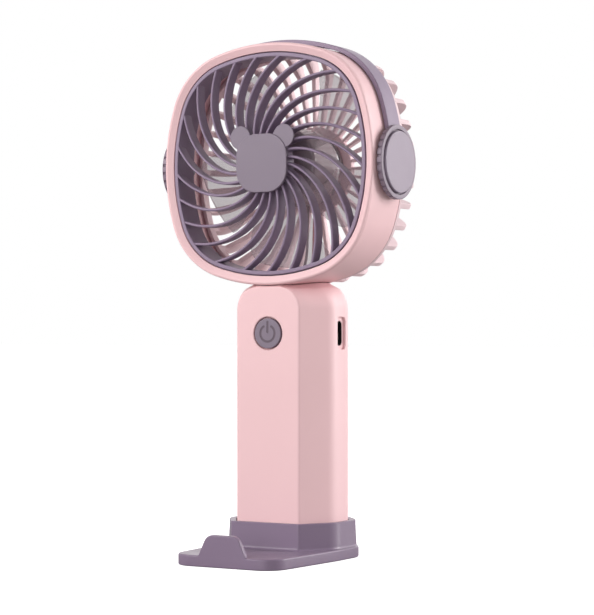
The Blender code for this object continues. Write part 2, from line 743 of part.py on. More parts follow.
def make_side_cap(side, label):
    """The round cap with the snap stud that holds ring and band to the shell."""
    under = RING_INNER_X + 1.9 * MM
    edge = 0.35 * MM
    profile = [
        (0.0, CAP_FACE_X), (CAP_RADIUS - edge, CAP_FACE_X), (CAP_RADIUS, CAP_FACE_X - edge),
        (CAP_RADIUS, under), (STUD_RADIUS, under), (STUD_RADIUS, STUD_END_X), (0.0, STUD_END_X),
    ]
    turn = Matrix.Rotation(side * math.pi / 2, 4, "Y")
    return smooth(turned("side_cap_" + label, profile, (0.0, DISC_Y, DISC_Z), turn, LIGHT_MAUVE))


# ---------------------------------------------------------------- impeller and motor

HEAD_CENTRE = (0.0, 0.0, HEAD_Z)


def axial(profile):
    """A profile of (radius, y) pairs turned into heights along the axis that faces front."""
    return [(radius, -y) for radius, y in profile]


def make_blade(index):
    """One blade: a grid bent to the blade's surface, then thickened."""
    bm = bmesh.new()
    bmesh.ops.create_grid(bm, x_segments=5, y_segments=4, size=0.5)
    root = HUB_RADIUS - 0.7 * MM
    for vertex in bm.verts:
        along = vertex.co.y + 0.5
        chord = vertex.co.x
        radius = root + (BLADE_RADIUS - root) * along
        span = BLADE_SPAN_ROOT + (BLADE_SPAN_TIP - BLADE_SPAN_ROOT) * along
        height = BLADE_HEIGHT_ROOT + (BLADE_HEIGHT_TIP - BLADE_HEIGHT_ROOT) * along
        camber = BLADE_CAMBER * (1.0 - 4.0 * chord ** 2)
        angle = (BLADE_START + 2 * math.pi * index / BLADE_COUNT + span * chord
                 + BLADE_SWEEP * along ** 2)
        vertex.co = (radius * math.cos(angle), BLADE_MIDDLE_Y + height * chord + camber,
                     radius * math.sin(angle))
    blade = object_from_bmesh(f"blade_{index}", bm, None, CUTTERS)
    blade.location = HEAD_CENTRE
    solid = blade.modifiers.new("thickness", "SOLIDIFY")
    solid.thickness = BLADE_THICK
    solid.offset = 0.0
    return blade


def make_impeller():
    wall = HUB_WALL
    round_off = 1.2 * MM
    inner = HUB_RADIUS - wall
    boss = 2.6 * MM
    bore = SHAFT_RADIUS + GAP
    floor = HUB_FRONT_Y + wall
    profile = axial([
        (0.0, HUB_FRONT_Y), (HUB_RADIUS - round_off, HUB_FRONT_Y),
        (HUB_RADIUS, HUB_FRONT_Y + round_off), (HUB_RADIUS, HUB_REAR_Y), (inner, HUB_REAR_Y),
        (inner, floor), (boss, floor), (boss, CAN_FRONT_Y - GAP), (bore, CAN_FRONT_Y - GAP),
        (bore, floor), (0.0, floor),
    ])
    impeller = turned("impeller", profile, HEAD_CENTRE, FACING_FRONT, SMOKE)
    for index in range(BLADE_COUNT):
        join(impeller, make_blade(index))
    return smooth(impeller)


def axial_piece(name, profile, material, steps=SMALL_STEPS):
    return smooth(turned(name, axial(profile), HEAD_CENTRE, FACING_FRONT, material, steps=steps))


def washer(inner, outer, front, rear):
    return [(outer, front), (outer, rear), (inner, rear), (inner, front), (outer, front)]


def make_rotor_parts():
    wall = CAN_WALL
    bore = SHAFT_RADIUS + GAP
    axial_piece("rotor_can", [
        (bore, CAN_FRONT_Y), (CAN_RADIUS, CAN_FRONT_Y), (CAN_RADIUS, CAN_REAR_Y),
        (CAN_RADIUS - wall, CAN_REAR_Y), (CAN_RADIUS - wall, CAN_FRONT_Y + wall),
        (bore, CAN_FRONT_Y + wall), (bore, CAN_FRONT_Y),
    ], STEEL, steps=TURN_STEPS)
    axial_piece("magnet_ring", washer(MAGNET_INNER, CAN_RADIUS - wall - GAP, MAGNET_FRONT_Y, MAGNET_REAR_Y),
                BLACK)
    axial_piece("motor_shaft", [(0.0, SHAFT_FRONT_Y), (SHAFT_RADIUS, SHAFT_FRONT_Y),
                                (SHAFT_RADIUS, SHAFT_REAR_Y), (0.0, SHAFT_REAR_Y)], STEEL)


def make_stator_parts():
    base_rear = MOTOR_BASE_Y + MOTOR_BASE_THICK
    base = axial_piece("motor_base", [
        (0.0, MOTOR_BASE_Y), (CAN_RADIUS, MOTOR_BASE_Y), (CAN_RADIUS, base_rear), (0.0, base_rear),
    ], STEEL, steps=TURN_STEPS)
    for side in (1, -1):
        place = side * MOTOR_SCREW_RADIUS
        cut(base, rod(f"motor_base_hole_{side}", (place, CAN_REAR_Y, HEAD_Z),
                      (place, REAR_DISC_FRONT_Y, HEAD_Z), SCREW_RADIUS + GAP))
    axial_piece("bearing_tube", washer(TUBE_BORE, TUBE_RADIUS, MAGNET_FRONT_Y, MOTOR_BASE_Y - GAP),
                STEEL)
    bearing = (SHAFT_RADIUS + GAP, TUBE_BORE - GAP)
    front, rear = MAGNET_FRONT_Y + 0.2 * MM, CAN_REAR_Y
    axial_piece("bearing_front", washer(*bearing, front, front + BEARING_LENGTH), STEEL)
    axial_piece("bearing_rear", washer(*bearing, rear - BEARING_LENGTH, rear), STEEL)
    make_stator_core()
    coil_rear = STATOR_Y - STATOR_DEPTH / 2 - GAP
    axial_piece("coil_former", washer(TUBE_RADIUS + GAP, COIL_RADIUS, front, coil_rear), COPPER)


def make_stator_core():
    """A stack of laminations: a ring with nine teeth, each with a wide tip."""
    core, neck, tip = 5.6 * MM, 9.2 * MM, 10.9 * MM
    core_half, neck_half, tip_half = 0.17, 0.11, 0.27
    tooth = [(core, -core_half), (neck, -neck_half), (neck, -tip_half), (tip, -tip_half),
             (tip, tip_half), (neck, tip_half), (neck, neck_half), (core, core_half)]
    loop = []
    for index in range(STATOR_TEETH):
        middle = 2 * math.pi * index / STATOR_TEETH
        loop += [(radius * math.cos(middle + angle), radius * math.sin(middle + angle))
                 for radius, angle in tooth]
    bore = TUBE_RADIUS + GAP
    around = [2 * math.pi * step / SMALL_STEPS for step in range(SMALL_STEPS)]
    hole = [(bore * math.cos(angle), bore * math.sin(angle)) for angle in around]
    return plate("stator_core", [loop, hole], (0.0, STATOR_Y, HEAD_Z), STATOR_DEPTH, FACING_FRONT,
                 STEEL, PARTS)


def screw_profile(tip, seat, top):
    """A plain screw: its shaft from tip to seat, then its flat head."""
    return [(0.0, tip), (SCREW_RADIUS, tip), (SCREW_RADIUS, seat), (SCREW_HEAD_RADIUS, seat),
            (SCREW_HEAD_RADIUS, top), (0.0, top)]


def make_motor_screws():
    for index, side in enumerate((1, -1), start=1):
        profile = axial(screw_profile(MOTOR_BASE_Y + 0.2 * MM, MOTOR_SINK_Y + GAP,
                                      REAR_FACE_Y - 0.1 * MM))
        place = (side * MOTOR_SCREW_RADIUS, 0.0, HEAD_Z)
        smooth(turned(f"motor_screw_{index}", profile, place, FACING_FRONT, STEEL,
                      steps=SCREW_STEPS))


# ---------------------------------------------------------------- handle

def fillet(before, corner, after, radius, steps):
    """Points of an arc of the given radius that rounds one corner of an outline."""
    before, corner, after = Vector(before), Vector(corner), Vector(after)
    to_before = (before - corner).normalized()
    to_after = (after - corner).normalized()
    half = to_before.angle(to_after) / 2
    reach = radius / math.tan(half)
    centre = corner + (to_before + to_after).normalized() * radius / math.sin(half)
    start = corner + to_before * reach - centre
    end = corner + to_after * reach - centre
    turn = math.atan2(start.x * end.y - start.y * end.x, start.dot(end))
    points = []
    for step in range(steps + 1):
        spin = Matrix.Rotation(turn * step / steps, 2)
        points.append(tuple(centre + spin @ start))
    return points


def handle_section(half, facet, depth, steps=3):
    """The handle's level section as (x, y) pairs, counter-clockwise from the front left."""
    side_front = FRONT_CHEEK_DEPTH - depth
    side_back = depth - BACK_CHEEK_DEPTH
    corners = [(-facet, -depth), (facet, -depth), (half, side_front), (half, side_back),
               (facet, depth), (-facet, depth), (-half, side_back), (-half, side_front)]
    points = []
    for index, corner in enumerate(corners):
        if abs(corner[0]) == facet:
            points.append(corner)
        else:
            before = corners[index - 1]
            after = corners[(index + 1) % len(corners)]
            points.extend(fillet(before, corner, after, CHEEK_ROUND, steps))
    return points


def arc_inset(height, start, radius):
    """How far a shoulder of the given radius has come in at a height above its start."""
    above = min(max(0.0, height - start), radius)
    return radius - math.sqrt(radius ** 2 - above ** 2)


def handle_at(height, shrink=0.0):
    """The handle's section at a height, made smaller all round by shrink."""
    inset = arc_inset(height, SHOULDER_Z, SHOULDER_RADIUS)
    facet_inset = arc_inset(height, SHOULDER_Z - 0.3 * MM, FACET_RADIUS)
    depth = HANDLE_DEPTH - shrink - max(0.0, height - FACET_TOP_Z)
    return handle_section(HANDLE_HALF - shrink - 0.9 * inset, FACET_HALF - shrink / 2 - facet_inset,
                          depth)


SHOULDER_HEIGHTS = [SHOULDER_Z + rise * MM for rise in (0.0, 2.4, 4.6, 6.4, 8.2)]


def make_handle_envelope(name, material=None, collection=CUTTERS):
    """The handle's outer form, with its top hollowed to sit against the round of the head."""
    foot = 0.8 * MM
    sections = [(HANDLE_BOTTOM_Z, handle_at(HANDLE_BOTTOM_Z, foot)),
                (HANDLE_BOTTOM_Z + foot, handle_at(HANDLE_BOTTOM_Z))]
    sections += [(height, handle_at(height)) for height in SHOULDER_HEIGHTS]
    sections.append((HANDLE_TOP_Z, handle_at(HANDLE_TOP_Z - 0.2 * MM)))
    body = loft(name, sections, material, collection)
    return cut(body, outline_prism(name + "_saddle", SHELL_OFFSET + GAP, -CLEAR, CLEAR))


def make_handle_cavity(name, boss_start, boss_end):
    """The handle's hollow, less the round bosses that the screws run into."""
    floor = HANDLE_BOTTOM_Z + HANDLE_WALL
    sections = [(floor, handle_at(floor, HANDLE_WALL))]
    sections += [(height - 1.5 * MM, handle_at(height, HANDLE_WALL)) for height in SHOULDER_HEIGHTS]
    sections[-1] = (CAVITY_ROOF_Z, handle_at(SHOULDER_HEIGHTS[-1], HANDLE_WALL))
    cavity = loft(name, sections)
    for side in (1, -1):
        for row, height in enumerate(BOSS_HEIGHTS):
            cut(cavity, rod(f"{name}_boss_{side}_{row}", (side * BOSS_X, boss_start, height),
                            (side * BOSS_X, boss_end, height), BOSS_RADIUS))
    return cavity


def screw_places():
    return [(side * BOSS_X, height) for height in BOSS_HEIGHTS for side in (1, -1)]


def make_handle_shell():
    shell = make_handle_envelope("handle_shell", PINK, PARTS)
    cavity = make_handle_cavity("shell_cavity", -20 * MM, BACK_SPLIT_Y)
    across, tall = USB_PAD_HALF
    cut(cavity, block("usb_pad", (USB_PAD_X, USB_Y - across, USB_Z - tall),
                      (CLEAR, USB_Y + across, USB_Z + tall)))
    cut(shell, cavity)
    cut(shell, block("behind_the_split", (-CLEAR, BACK_SPLIT_Y - GAP / 2, 0.0),
                     (CLEAR, CLEAR, HANDLE_TOP_Z + CLEAR)))
    cut(shell, rod("button_hole", (0.0, -CLEAR, BUTTON_Z),
                   (0.0, -HANDLE_DEPTH + 2 * HANDLE_WALL, BUTTON_Z), BUTTON_HOLE,
                   segments=TURN_STEPS))
    recess = plate("usb_recess", [cut_corner_rectangle(*USB_RECESS_HALF, USB_RECESS_CORNER)],
                   (USB_FLOOR_X + HANDLE_WALL, USB_Y, USB_Z), 2 * HANDLE_WALL, side_facing())
    slot = plate("usb_slot", [rounded_rectangle(*USB_SLOT_HALF, USB_SLOT_CORNER, 4)],
                 (USB_FLOOR_X, USB_Y, USB_Z), 4 * HANDLE_WALL, side_facing())
    cut(shell, recess, slot)
    cut(shell, block("neck_hole_in_handle", (-NECK_HALF - GAP, NECK_FRONT_Y - GAP, SHOULDER_Z),
                     (NECK_HALF + GAP, NECK_REAR_Y + GAP, HANDLE_TOP_Z + CLEAR)))
    for number, (x, z) in enumerate(screw_places()):
        cut(shell, rod(f"shell_screw_hole_{number}", (x, SCREW_TIP_Y - 1 * MM, z),
                       (x, CLEAR, z), SCREW_RADIUS + GAP))
    return smooth(shell)


def side_facing():
    """Turns a plate drawn with u forward-back and v upward so that it faces along X."""
    return Matrix(((0, 0, 1, 0), (1, 0, 0, 0), (0, 1, 0, 0), (0, 0, 0, 1)))


def cut_corner_rectangle(half_width, half_height, corner):
    points = []
    for sx, sy in ((1, 1), (-1, 1), (-1, -1), (1, -1)):
        near = (sx * half_width, sy * (half_height - corner))
        far = (sx * (half_width - corner * 0.6), sy * half_height)
        points.extend((near, far) if sx * sy > 0 else (far, near))
    return points


def make_handle_back():
    back = make_handle_envelope("handle_back", PINK, PARTS)
    cavity = make_handle_cavity("back_cavity", BACK_SPLIT_Y, 20 * MM)
    cut(back, cavity)
    cut(back, block("ahead_of_the_split", (-CLEAR, -CLEAR, 0.0),
                    (CLEAR, BACK_SPLIT_Y + GAP / 2, HANDLE_TOP_Z + CLEAR)))
    for number, (x, z) in enumerate(screw_places()):
        cut(back, rod(f"back_screw_hole_{number}", (x, SCREW_TIP_Y, z), (x, CLEAR, z),
                      SCREW_RADIUS + GAP),
            rod(f"back_screw_sink_{number}", (x, HANDLE_SINK_Y, z), (x, CLEAR, z),
                SCREW_SINK_RADIUS))
    return smooth(back)


def make_handle_screws():
    for number, (x, z) in enumerate(screw_places(), start=1):
        seat = HANDLE_SINK_Y + GAP
        profile = axial(screw_profile(SCREW_TIP_Y, seat, seat + SCREW_HEAD_THICK))
        smooth(turned(f"handle_screw_{number}", profile, (x, 0.0, z), FACING_FRONT, STEEL,
                      steps=SCREW_STEPS))


def make_neck():
    tube = block("neck_tube", (-NECK_HALF, NECK_FRONT_Y, NECK_BOTTOM_Z),
                 (NECK_HALF, NECK_REAR_Y, NECK_TOP_Z), MAUVE, PARTS)
    flange = block("neck_flange", (-NECK_HALF - NECK_FLANGE_WIDE, NECK_FRONT_Y - NECK_FLANGE_WIDE,
                                    NECK_FLANGE_Z),
                   (NECK_HALF + NECK_FLANGE_WIDE, NECK_REAR_Y, NECK_TOP_Z))
    join(tube, flange)
    bore_front = NECK_FRONT_Y + NECK_WALL
    bore_rear = NECK_REAR_Y - NECK_WALL
    bore_half = NECK_HALF - NECK_WALL
    cut(tube, block("neck_bore", (-bore_half, bore_front, NECK_BOTTOM_Z - CLEAR),
                    (bore_half, bore_rear, NECK_TOP_Z + CLEAR)))
    cut(tube, block("neck_wire_notch", (-WIRE_NOTCH_HALF, bore_rear - GAP,
                                       NECK_FLANGE_Z - WIRE_NOTCH_DEEP),
                    (WIRE_NOTCH_HALF, NECK_REAR_Y + CLEAR, NECK_TOP_Z + CLEAR)))
    groove_low, groove_high = CLIP_Z - GAP, CLIP_Z + CLIP_THICK + GAP
    groove = NECK_HALF - CLIP_BITE
    for side in (1, -1):
        low_x, high_x = sorted((side * groove, side * CLEAR))
        cut(tube, block(f"neck_groove_{side}", (low_x, NECK_FRONT_Y - CLEAR, groove_low),
                        (high_x, NECK_REAR_Y + CLEAR, groove_high)))
    clip = block("neck_clip", (-CLIP_HALF, NECK_FRONT_Y + GAP, CLIP_Z),
                 (CLIP_HALF, NECK_REAR_Y + CLIP_BACK, CLIP_Z + CLIP_THICK), STEEL, PARTS)
    cut(clip, block("clip_mouth", (-groove - GAP, NECK_FRONT_Y - CLEAR, CLIP_Z - CLEAR),
                    (groove + GAP, NECK_REAR_Y + GAP, CLIP_Z + CLEAR)))


def make_power_button():
    """A cap with a wide foot behind the wall and a plunger that reaches the switch."""
    face = -HANDLE_DEPTH - BUTTON_PROUD
    edge = BUTTON_EDGE
    foot_front = -HANDLE_DEPTH + HANDLE_WALL + GAP
    foot_rear = foot_front + BUTTON_FOOT_THICK
    profile = [
        (0.0, face), (BUTTON_RADIUS - edge, face), (BUTTON_RADIUS, face + edge),
        (BUTTON_RADIUS, foot_front), (BUTTON_FOOT_RADIUS, foot_front),
        (BUTTON_FOOT_RADIUS, foot_rear), (PLUNGER_RADIUS, foot_rear),
        (PLUNGER_RADIUS, PLUNGER_END_Y), (0.0, PLUNGER_END_Y),
    ]
    button = turned("power_button", axial(profile), (0.0, 0.0, BUTTON_Z), FACING_FRONT, LIGHT_MAUVE)
    return smooth(button)


def make_electronics():
    board = block("circuit_board", (BOARD_X[0], BOARD_Y, BOARD_Z[0]),
                  (BOARD_X[1], BOARD_Y + BOARD_THICK, BOARD_Z[1]), GREEN_BOARD, PARTS)
    for row, height in enumerate(BOARD_HOLE_Z):
        cut(board, rod(f"board_hole_{row}", (BOARD_HOLE_X, BOARD_Y - CLEAR, height),
                       (BOARD_HOLE_X, BOARD_Y + CLEAR, height), BOARD_HOLE_RADIUS))
    switch = block("tact_switch", (-SWITCH_HALF, SWITCH_FRONT_Y, BUTTON_Z - SWITCH_HALF),
                   (SWITCH_HALF, BOARD_Y - GAP, BUTTON_Z + SWITCH_HALF), BLACK, PARTS)
    cut(switch, rod("switch_bore", (0.0, -CLEAR, BUTTON_Z), (0.0, SWITCH_FLOOR_Y, BUTTON_Z),
                    SWITCH_BORE))
    rod("switch_stem", (0.0, STEM_FRONT_Y, BUTTON_Z), (0.0, STEM_REAR_Y, BUTTON_Z), STEM_RADIUS,
        LIGHT_MAUVE, PARTS)
    make_usb_socket()
    make_battery_cell()


def make_usb_socket():
    """A metal shell open to the side, with a thin tongue inside."""
    sleeve = rounded_rectangle(*(half - GAP for half in USB_SLOT_HALF), USB_SLOT_CORNER - GAP, 4)
    hollow = GAP + SOCKET_WALL
    mouth = rounded_rectangle(*(half - hollow for half in USB_SLOT_HALF), USB_SLOT_CORNER - hollow, 4)
    middle = SOCKET_FRONT_X - SOCKET_LENGTH / 2
    socket = plate("usb_socket", [sleeve], (middle, USB_Y, USB_Z), SOCKET_LENGTH, side_facing(),
                   STEEL, PARTS)
    inside = plate("usb_inside", [mouth], (middle + SOCKET_BACK_WALL, USB_Y, USB_Z), SOCKET_LENGTH,
                   side_facing())
    across, tall = TONGUE_HALF
    cut(inside, block("usb_tongue", (0.0, USB_Y - across, USB_Z - tall),
                      (TONGUE_FRONT_X, USB_Y + across, USB_Z + tall)))
    cut(socket, inside)


def make_battery_cell():
    bottom = BATTERY_BOTTOM_Z
    top = bottom + BATTERY_LENGTH
    shoulder = top - BATTERY_NUB_HIGH
    smooth(turned("battery_cell", [
        (0.0, top), (BATTERY_NUB, top), (BATTERY_NUB, shoulder), (BATTERY_RADIUS, shoulder),
        (BATTERY_RADIUS, bottom), (0.0, bottom),
    ], (0.0, 0.0, 0.0), Matrix.Identity(4), CELL_WRAP))


def make_wires():
    top = BATTERY_BOTTOM_Z + BATTERY_LENGTH
    behind_board = BOARD_Y + BOARD_THICK + WIRE_RADIUS + GAP
    for side, label, material in ((1, "red", RED_WIRE), (-1, "black", BLACK)):
        x = side * 1.5 * MM
        wire("battery_lead_" + label, [
            (2.2 * x, behind_board, top - 0.6 * MM), (2.2 * x, 1.2 * behind_board, top + 2.4 * MM),
            (2.2 * x, behind_board, top + 6.0 * MM), (2.2 * x, behind_board, top + 11 * MM),
        ], material)
        wire("motor_lead_" + label, [
            (x, behind_board, 86 * MM), (x, behind_board, 92.2 * MM), (x, 4.8 * MM, 95.8 * MM),
            (x, 1.2 * MM, 97.6 * MM), (x, -3.0 * MM, 99.8 * MM), (x, -4.2 * MM, 103 * MM),
            (x, -2.8 * MM, 106.2 * MM), (x, 0.3 * MM, 108.4 * MM), (x, 3.4 * MM, 110.0 * MM),
            (x, 9.3 * MM, 110.8 * MM), (x, 13.4 * MM, 113.4 * MM), (x, 15.2 * MM, 119 * MM),
            (x, 15.6 * MM, 128 * MM), (x, 16.2 * MM, 136.8 * MM),
        ], material)


# ---------------------------------------------------------------- phone stand

def stand_outline(margin):
    """The plate's outline: narrow and round in front, wider under the handle's back."""
    wide = HANDLE_HALF + margin
    deep = HANDLE_DEPTH + margin - 1.6 * MM
    back_facet = FACET_HALF + margin / 2
    side_front = (wide, PLATE_SIDE_FRONT_Y)
    side_back = (wide, deep - BACK_CHEEK_DEPTH)
    front = (PLATE_FRONT_HALF, PLATE_FRONT_Y)
    right = [*fillet((0.0, PLATE_FRONT_Y), front, side_front, PLATE_FRONT_CORNER, 6),
             *fillet(front, side_front, side_back, 6 * MM, 2),
             *fillet(side_front, side_back, (back_facet, deep), 6 * MM, 4),
             *fillet(side_back, (back_facet, deep), (0.0, deep), 3 * MM, 2)]
    return right + [(-x, y) for x, y in reversed(right)]


def lip_outline():
    """The lip's outline seen from the front: sloping sides and a broad round top."""
    low = PLATE_THICK - 1.0 * MM
    right_foot = (LIP_BASE_HALF + 0.4 * MM, low)
    right_top = (LIP_TOP_HALF, LIP_TOP_Z)
    left_top = (-LIP_TOP_HALF, LIP_TOP_Z)
    arc = fillet(right_foot, right_top, left_top, LIP_ROUND, 6)
    return [right_foot, *arc, *[(-x, z) for x, z in reversed(arc)], (-right_foot[0], low)]


def make_phone_stand():
    bottom, top = 0.0, PLATE_THICK
    chamfer = 0.5 * MM
    sections = [(bottom, stand_outline(PLATE_MARGIN - chamfer)),
                (bottom + chamfer, stand_outline(PLATE_MARGIN)),
                (top - chamfer, stand_outline(PLATE_MARGIN)),
                (top, stand_outline(PLATE_MARGIN - chamfer))]
    stand = loft("phone_stand", sections, MAUVE, PARTS)
    foot = handle_section(HANDLE_HALF + COLLAR_MARGIN + 0.5 * MM, FACET_HALF + 1.3 * MM,
                          HANDLE_DEPTH + COLLAR_MARGIN + 0.5 * MM)
    brim = handle_section(HANDLE_HALF + COLLAR_MARGIN, FACET_HALF + 1.1 * MM,
                          HANDLE_DEPTH + COLLAR_MARGIN)
    collar = loft("collar", [(1.0 * MM, foot), (5.0 * MM, foot), (8.0 * MM, brim),
                             (COLLAR_TOP_Z, brim)])
    lip = plate("lip", [lip_outline()], (0.0, PLATE_FRONT_Y + LIP_THICK / 2 + 0.02 * MM, 0.0),
                LIP_THICK, FACING_FRONT)
    join(stand, collar, lip)
    well = handle_section(HANDLE_HALF + GAP, FACET_HALF + 0.15 * MM, HANDLE_DEPTH + GAP)
    cut(stand, loft("well", [(PLATE_THICK, well), (COLLAR_TOP_Z + 5 * MM, well)]))
    return smooth(stand)


def build():
    make_phone_stand()
    make_handle_shell()
    make_handle_back()
    make_handle_screws()
    make_neck()
    make_power_button()
    make_electronics()
    make_wires()
    make_front_shell()
    make_front_grille()
    make_hub_badge()
    make_rear_grille()
    make_headband()
    for side, label in ((1, "right"), (-1, "left")):
        make_side_ring(side, label)
        make_side_cap(side, label)
    make_impeller()
    make_rotor_parts()
    make_stator_parts()
    make_motor_screws()


build()
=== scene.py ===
"""The looks of the handheld fan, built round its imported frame.

Every visible CAD node is stood for by a finer piece: rounded edges, slim ribs, notched rings, an
engraved button. The hidden ones keep their shape and get materials. Metres, +Z up, the grille
faces -Y. Depths and offsets repeat the design's own; places come from the frame's boxes.
"""
import math

import bmesh
import bpy
from mathutils import Matrix, Vector


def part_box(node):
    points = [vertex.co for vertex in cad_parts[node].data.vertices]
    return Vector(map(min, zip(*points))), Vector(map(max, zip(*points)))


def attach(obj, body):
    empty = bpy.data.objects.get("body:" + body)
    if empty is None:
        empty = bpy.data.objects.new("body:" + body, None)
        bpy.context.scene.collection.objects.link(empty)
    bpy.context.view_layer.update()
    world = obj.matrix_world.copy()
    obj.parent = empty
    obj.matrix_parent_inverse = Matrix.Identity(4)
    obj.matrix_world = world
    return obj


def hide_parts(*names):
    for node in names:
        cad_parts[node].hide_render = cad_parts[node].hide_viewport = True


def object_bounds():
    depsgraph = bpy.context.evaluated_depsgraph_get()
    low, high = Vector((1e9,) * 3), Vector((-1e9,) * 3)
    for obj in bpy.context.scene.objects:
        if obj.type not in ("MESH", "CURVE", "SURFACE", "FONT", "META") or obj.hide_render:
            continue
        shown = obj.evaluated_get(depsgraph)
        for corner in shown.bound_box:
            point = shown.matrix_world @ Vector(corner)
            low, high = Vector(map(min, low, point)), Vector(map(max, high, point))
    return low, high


MM = 0.001
SEAM = 0.3 * MM
SHARP_ANGLE = 32.0

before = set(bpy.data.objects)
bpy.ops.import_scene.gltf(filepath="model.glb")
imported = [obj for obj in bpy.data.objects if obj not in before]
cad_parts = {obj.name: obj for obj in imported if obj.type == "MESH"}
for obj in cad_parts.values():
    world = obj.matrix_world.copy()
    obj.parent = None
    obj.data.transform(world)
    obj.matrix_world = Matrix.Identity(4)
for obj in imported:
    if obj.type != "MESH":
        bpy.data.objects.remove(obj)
CAD_LOW, CAD_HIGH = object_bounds()

# The head: its outline is a rounded square of eight arcs, and an offset is measured outward.
SHELL_OFFSET = 3.45 * MM
SHELL_WALL = 1.7 * MM
SIDE_ARC = 73.3 * MM
CORNER_ARC = 26.2 * MM
SHELL_LOW, SHELL_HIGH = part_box("front_shell")
HEAD_Z = (SHELL_LOW.z + SHELL_HIGH.z) / 2
OPENING_HALF = (SHELL_HIGH.x - SHELL_LOW.x) / 2 - SHELL_OFFSET
RIM_Y = SHELL_LOW.y
SHELL_REAR_Y = SHELL_HIGH.y
LIP_REAR_Y = RIM_Y + 3.0 * MM

# Front grille.
RIB_COUNT = 25
RIB_SWEEP = math.radians(49.0)
RIB_THICK = 1.05 * MM
RIB_REAR_THICK = 0.85 * MM
RIB_FRONT_Y = -17.9 * MM
RIB_DEPTH_HUB = 6.0 * MM
RIB_DEPTH_RING = 5.0 * MM
GRILLE_DOME = 3.2 * MM
GRILLE_HUB_RADIUS = 10.6 * MM
GRILLE_HUB_FRONT_Y = -20.8 * MM
GRILLE_HUB_REAR_Y = -15.5 * MM
SKIRT_OFFSET = -0.45 * MM
SKIRT_WALL = 1.5 * MM
SKIRT_CUT_BACK = 3.0 * MM
SKIRT_REAR_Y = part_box("front_grille")[1].y - SKIRT_CUT_BACK
FLANGE_OFFSET = 1.4 * MM
FLANGE_THICK = 1.4 * MM

# Hub badge.
BADGE_LOW, BADGE_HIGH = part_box("hub_badge")
BADGE_HALF = 11.2 * MM
BADGE_CORNER = 8.6 * MM
LOBE_RADIUS = 4.5 * MM
LOBE_X = 9.6 * MM
LOBE_Z = 10.0 * MM
LOBE_STEP = 0.5 * MM

# Rear grille.
FIN_COUNT = 36
FIN_THICK_TIP = 2.2 * MM
FIN_THICK_HUB = 1.0 * MM
FIN_CORNER_RADIUS = 8.0 * MM
FIN_DEPTH = 3.2 * MM
FIN_FOOT_Y = 6.3 * MM
FIN_FOOT_OFFSET = 0.6 * MM
FIN_BEND_IN = 7.2 * MM
FIN_BEND_DEPTH = 10.5 * MM
REAR_RING_DEPTH = 2.0 * MM
SPIGOT_FRONT_Y = 3.0 * MM
SPIGOT_OFFSET = 1.45 * MM
REAR_DISC_RADIUS = 17.0 * MM
REAR_DISC_FRONT_Y = 18.0 * MM
MOTOR_SCREW_X = 9.0 * MM
REAR_FACE_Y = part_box("rear_grille")[1].y

# Headband, side rings and caps.
BAND_LOW, BAND_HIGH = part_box("headband")
BAND_OFFSET = 5.5 * MM
BAND_THICK = 1.75 * MM
BAND_END_RISE = 12.2 * MM
RING_LOW, RING_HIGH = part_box("side_ring_right")
CAP_LOW, CAP_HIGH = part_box("side_cap_right")
RING_RADIUS = 14.1 * MM
CAP_RADIUS = 11.8 * MM
DISC_Y = (CAP_LOW.y + CAP_HIGH.y) / 2
DISC_Z = (CAP_LOW.z + CAP_HIGH.z) / 2
RING_FLOOR_RISE = 1.2 * MM
RING_UNDER_RISE = 0.9 * MM
RING_SEAT_GAP = 0.55 * MM
NOTCH_COUNT = 28
NOTCH_DEPTH = 0.6 * MM
NOTCH_TOP_RISE = 1.7 * MM
NOTCH_FROM, NOTCH_TO = 0.38, 0.62

# Impeller.
BLADE_COUNT = 5
BLADE_RADIUS = 39.3 * MM
BLADE_START = math.radians(-27.0)
BLADE_SPAN_ROOT = 46.0
BLADE_SPAN_GAIN = 2.0
BLADE_LEAN = math.radians(10.0)
BLADE_HEIGHT_ROOT = 15.0
BLADE_HEIGHT_LOSS = 3.0
BLADE_CAMBER = 1.2 * MM
BLADE_MIDDLE_Y = 0.8 * MM
BLADE_HALF_THICK = 0.5 * MM
BLADE_TRIM, BLADE_TRIM_FROM = 0.16, 0.7
HUB_FRONT_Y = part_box("impeller")[0].y
HUB_REAR_Y = 10.0 * MM
HUB_RADIUS = 15.3 * MM
HUB_WALL = 1.3 * MM
HUB_BORE = 2.6 * MM
HUB_BOSS_REAR_Y = 3.7 * MM

# Handle.
HANDLE_LOW, HANDLE_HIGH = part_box("handle_shell")
HANDLE_HALF = HANDLE_HIGH.x
FACET_HALF = 13.74 * MM
HANDLE_DEPTH = -HANDLE_LOW.y
FRONT_CHEEK_DEPTH = 13.2 * MM
BACK_CHEEK_DEPTH = 10.0 * MM
CHEEK_ROUND = 11.0 * MM
FACET_ROUND = 1.4 * MM
PORT_FLOOR_X = 20.79 * MM
SHOULDER_Z = 96.0 * MM
SHOULDER_RADIUS = 10.0 * MM
SHOULDER_SHARE = 0.9
FACET_RADIUS = 8.5 * MM
FACET_TOP_Z = 104.2 * MM
HANDLE_TOP_Z = 106.0 * MM
SPLIT_Y = 12.0 * MM
HANDLE_SCREWS = [f"handle_screw_{index}" for index in (1, 2, 3, 4)]

# Button and charging port.
BUTTON_LOW, BUTTON_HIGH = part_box("power_button")
BUTTON_Z = (BUTTON_LOW.z + BUTTON_HIGH.z) / 2
BUTTON_FACE_Y = BUTTON_LOW.y
BUTTON_HOLE = 6.35 * MM
BUTTON_RADIUS = 5.8 * MM
BUTTON_FOOT_RADIUS = 7.3 * MM
BUTTON_FOOT_THICK = 0.9 * MM
PLUNGER_RADIUS = 1.5 * MM
SOCKET_LOW, SOCKET_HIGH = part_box("usb_socket")
USB_Y = (SOCKET_LOW.y + SOCKET_HIGH.y) / 2
USB_Z = (SOCKET_LOW.z + SOCKET_HIGH.z) / 2

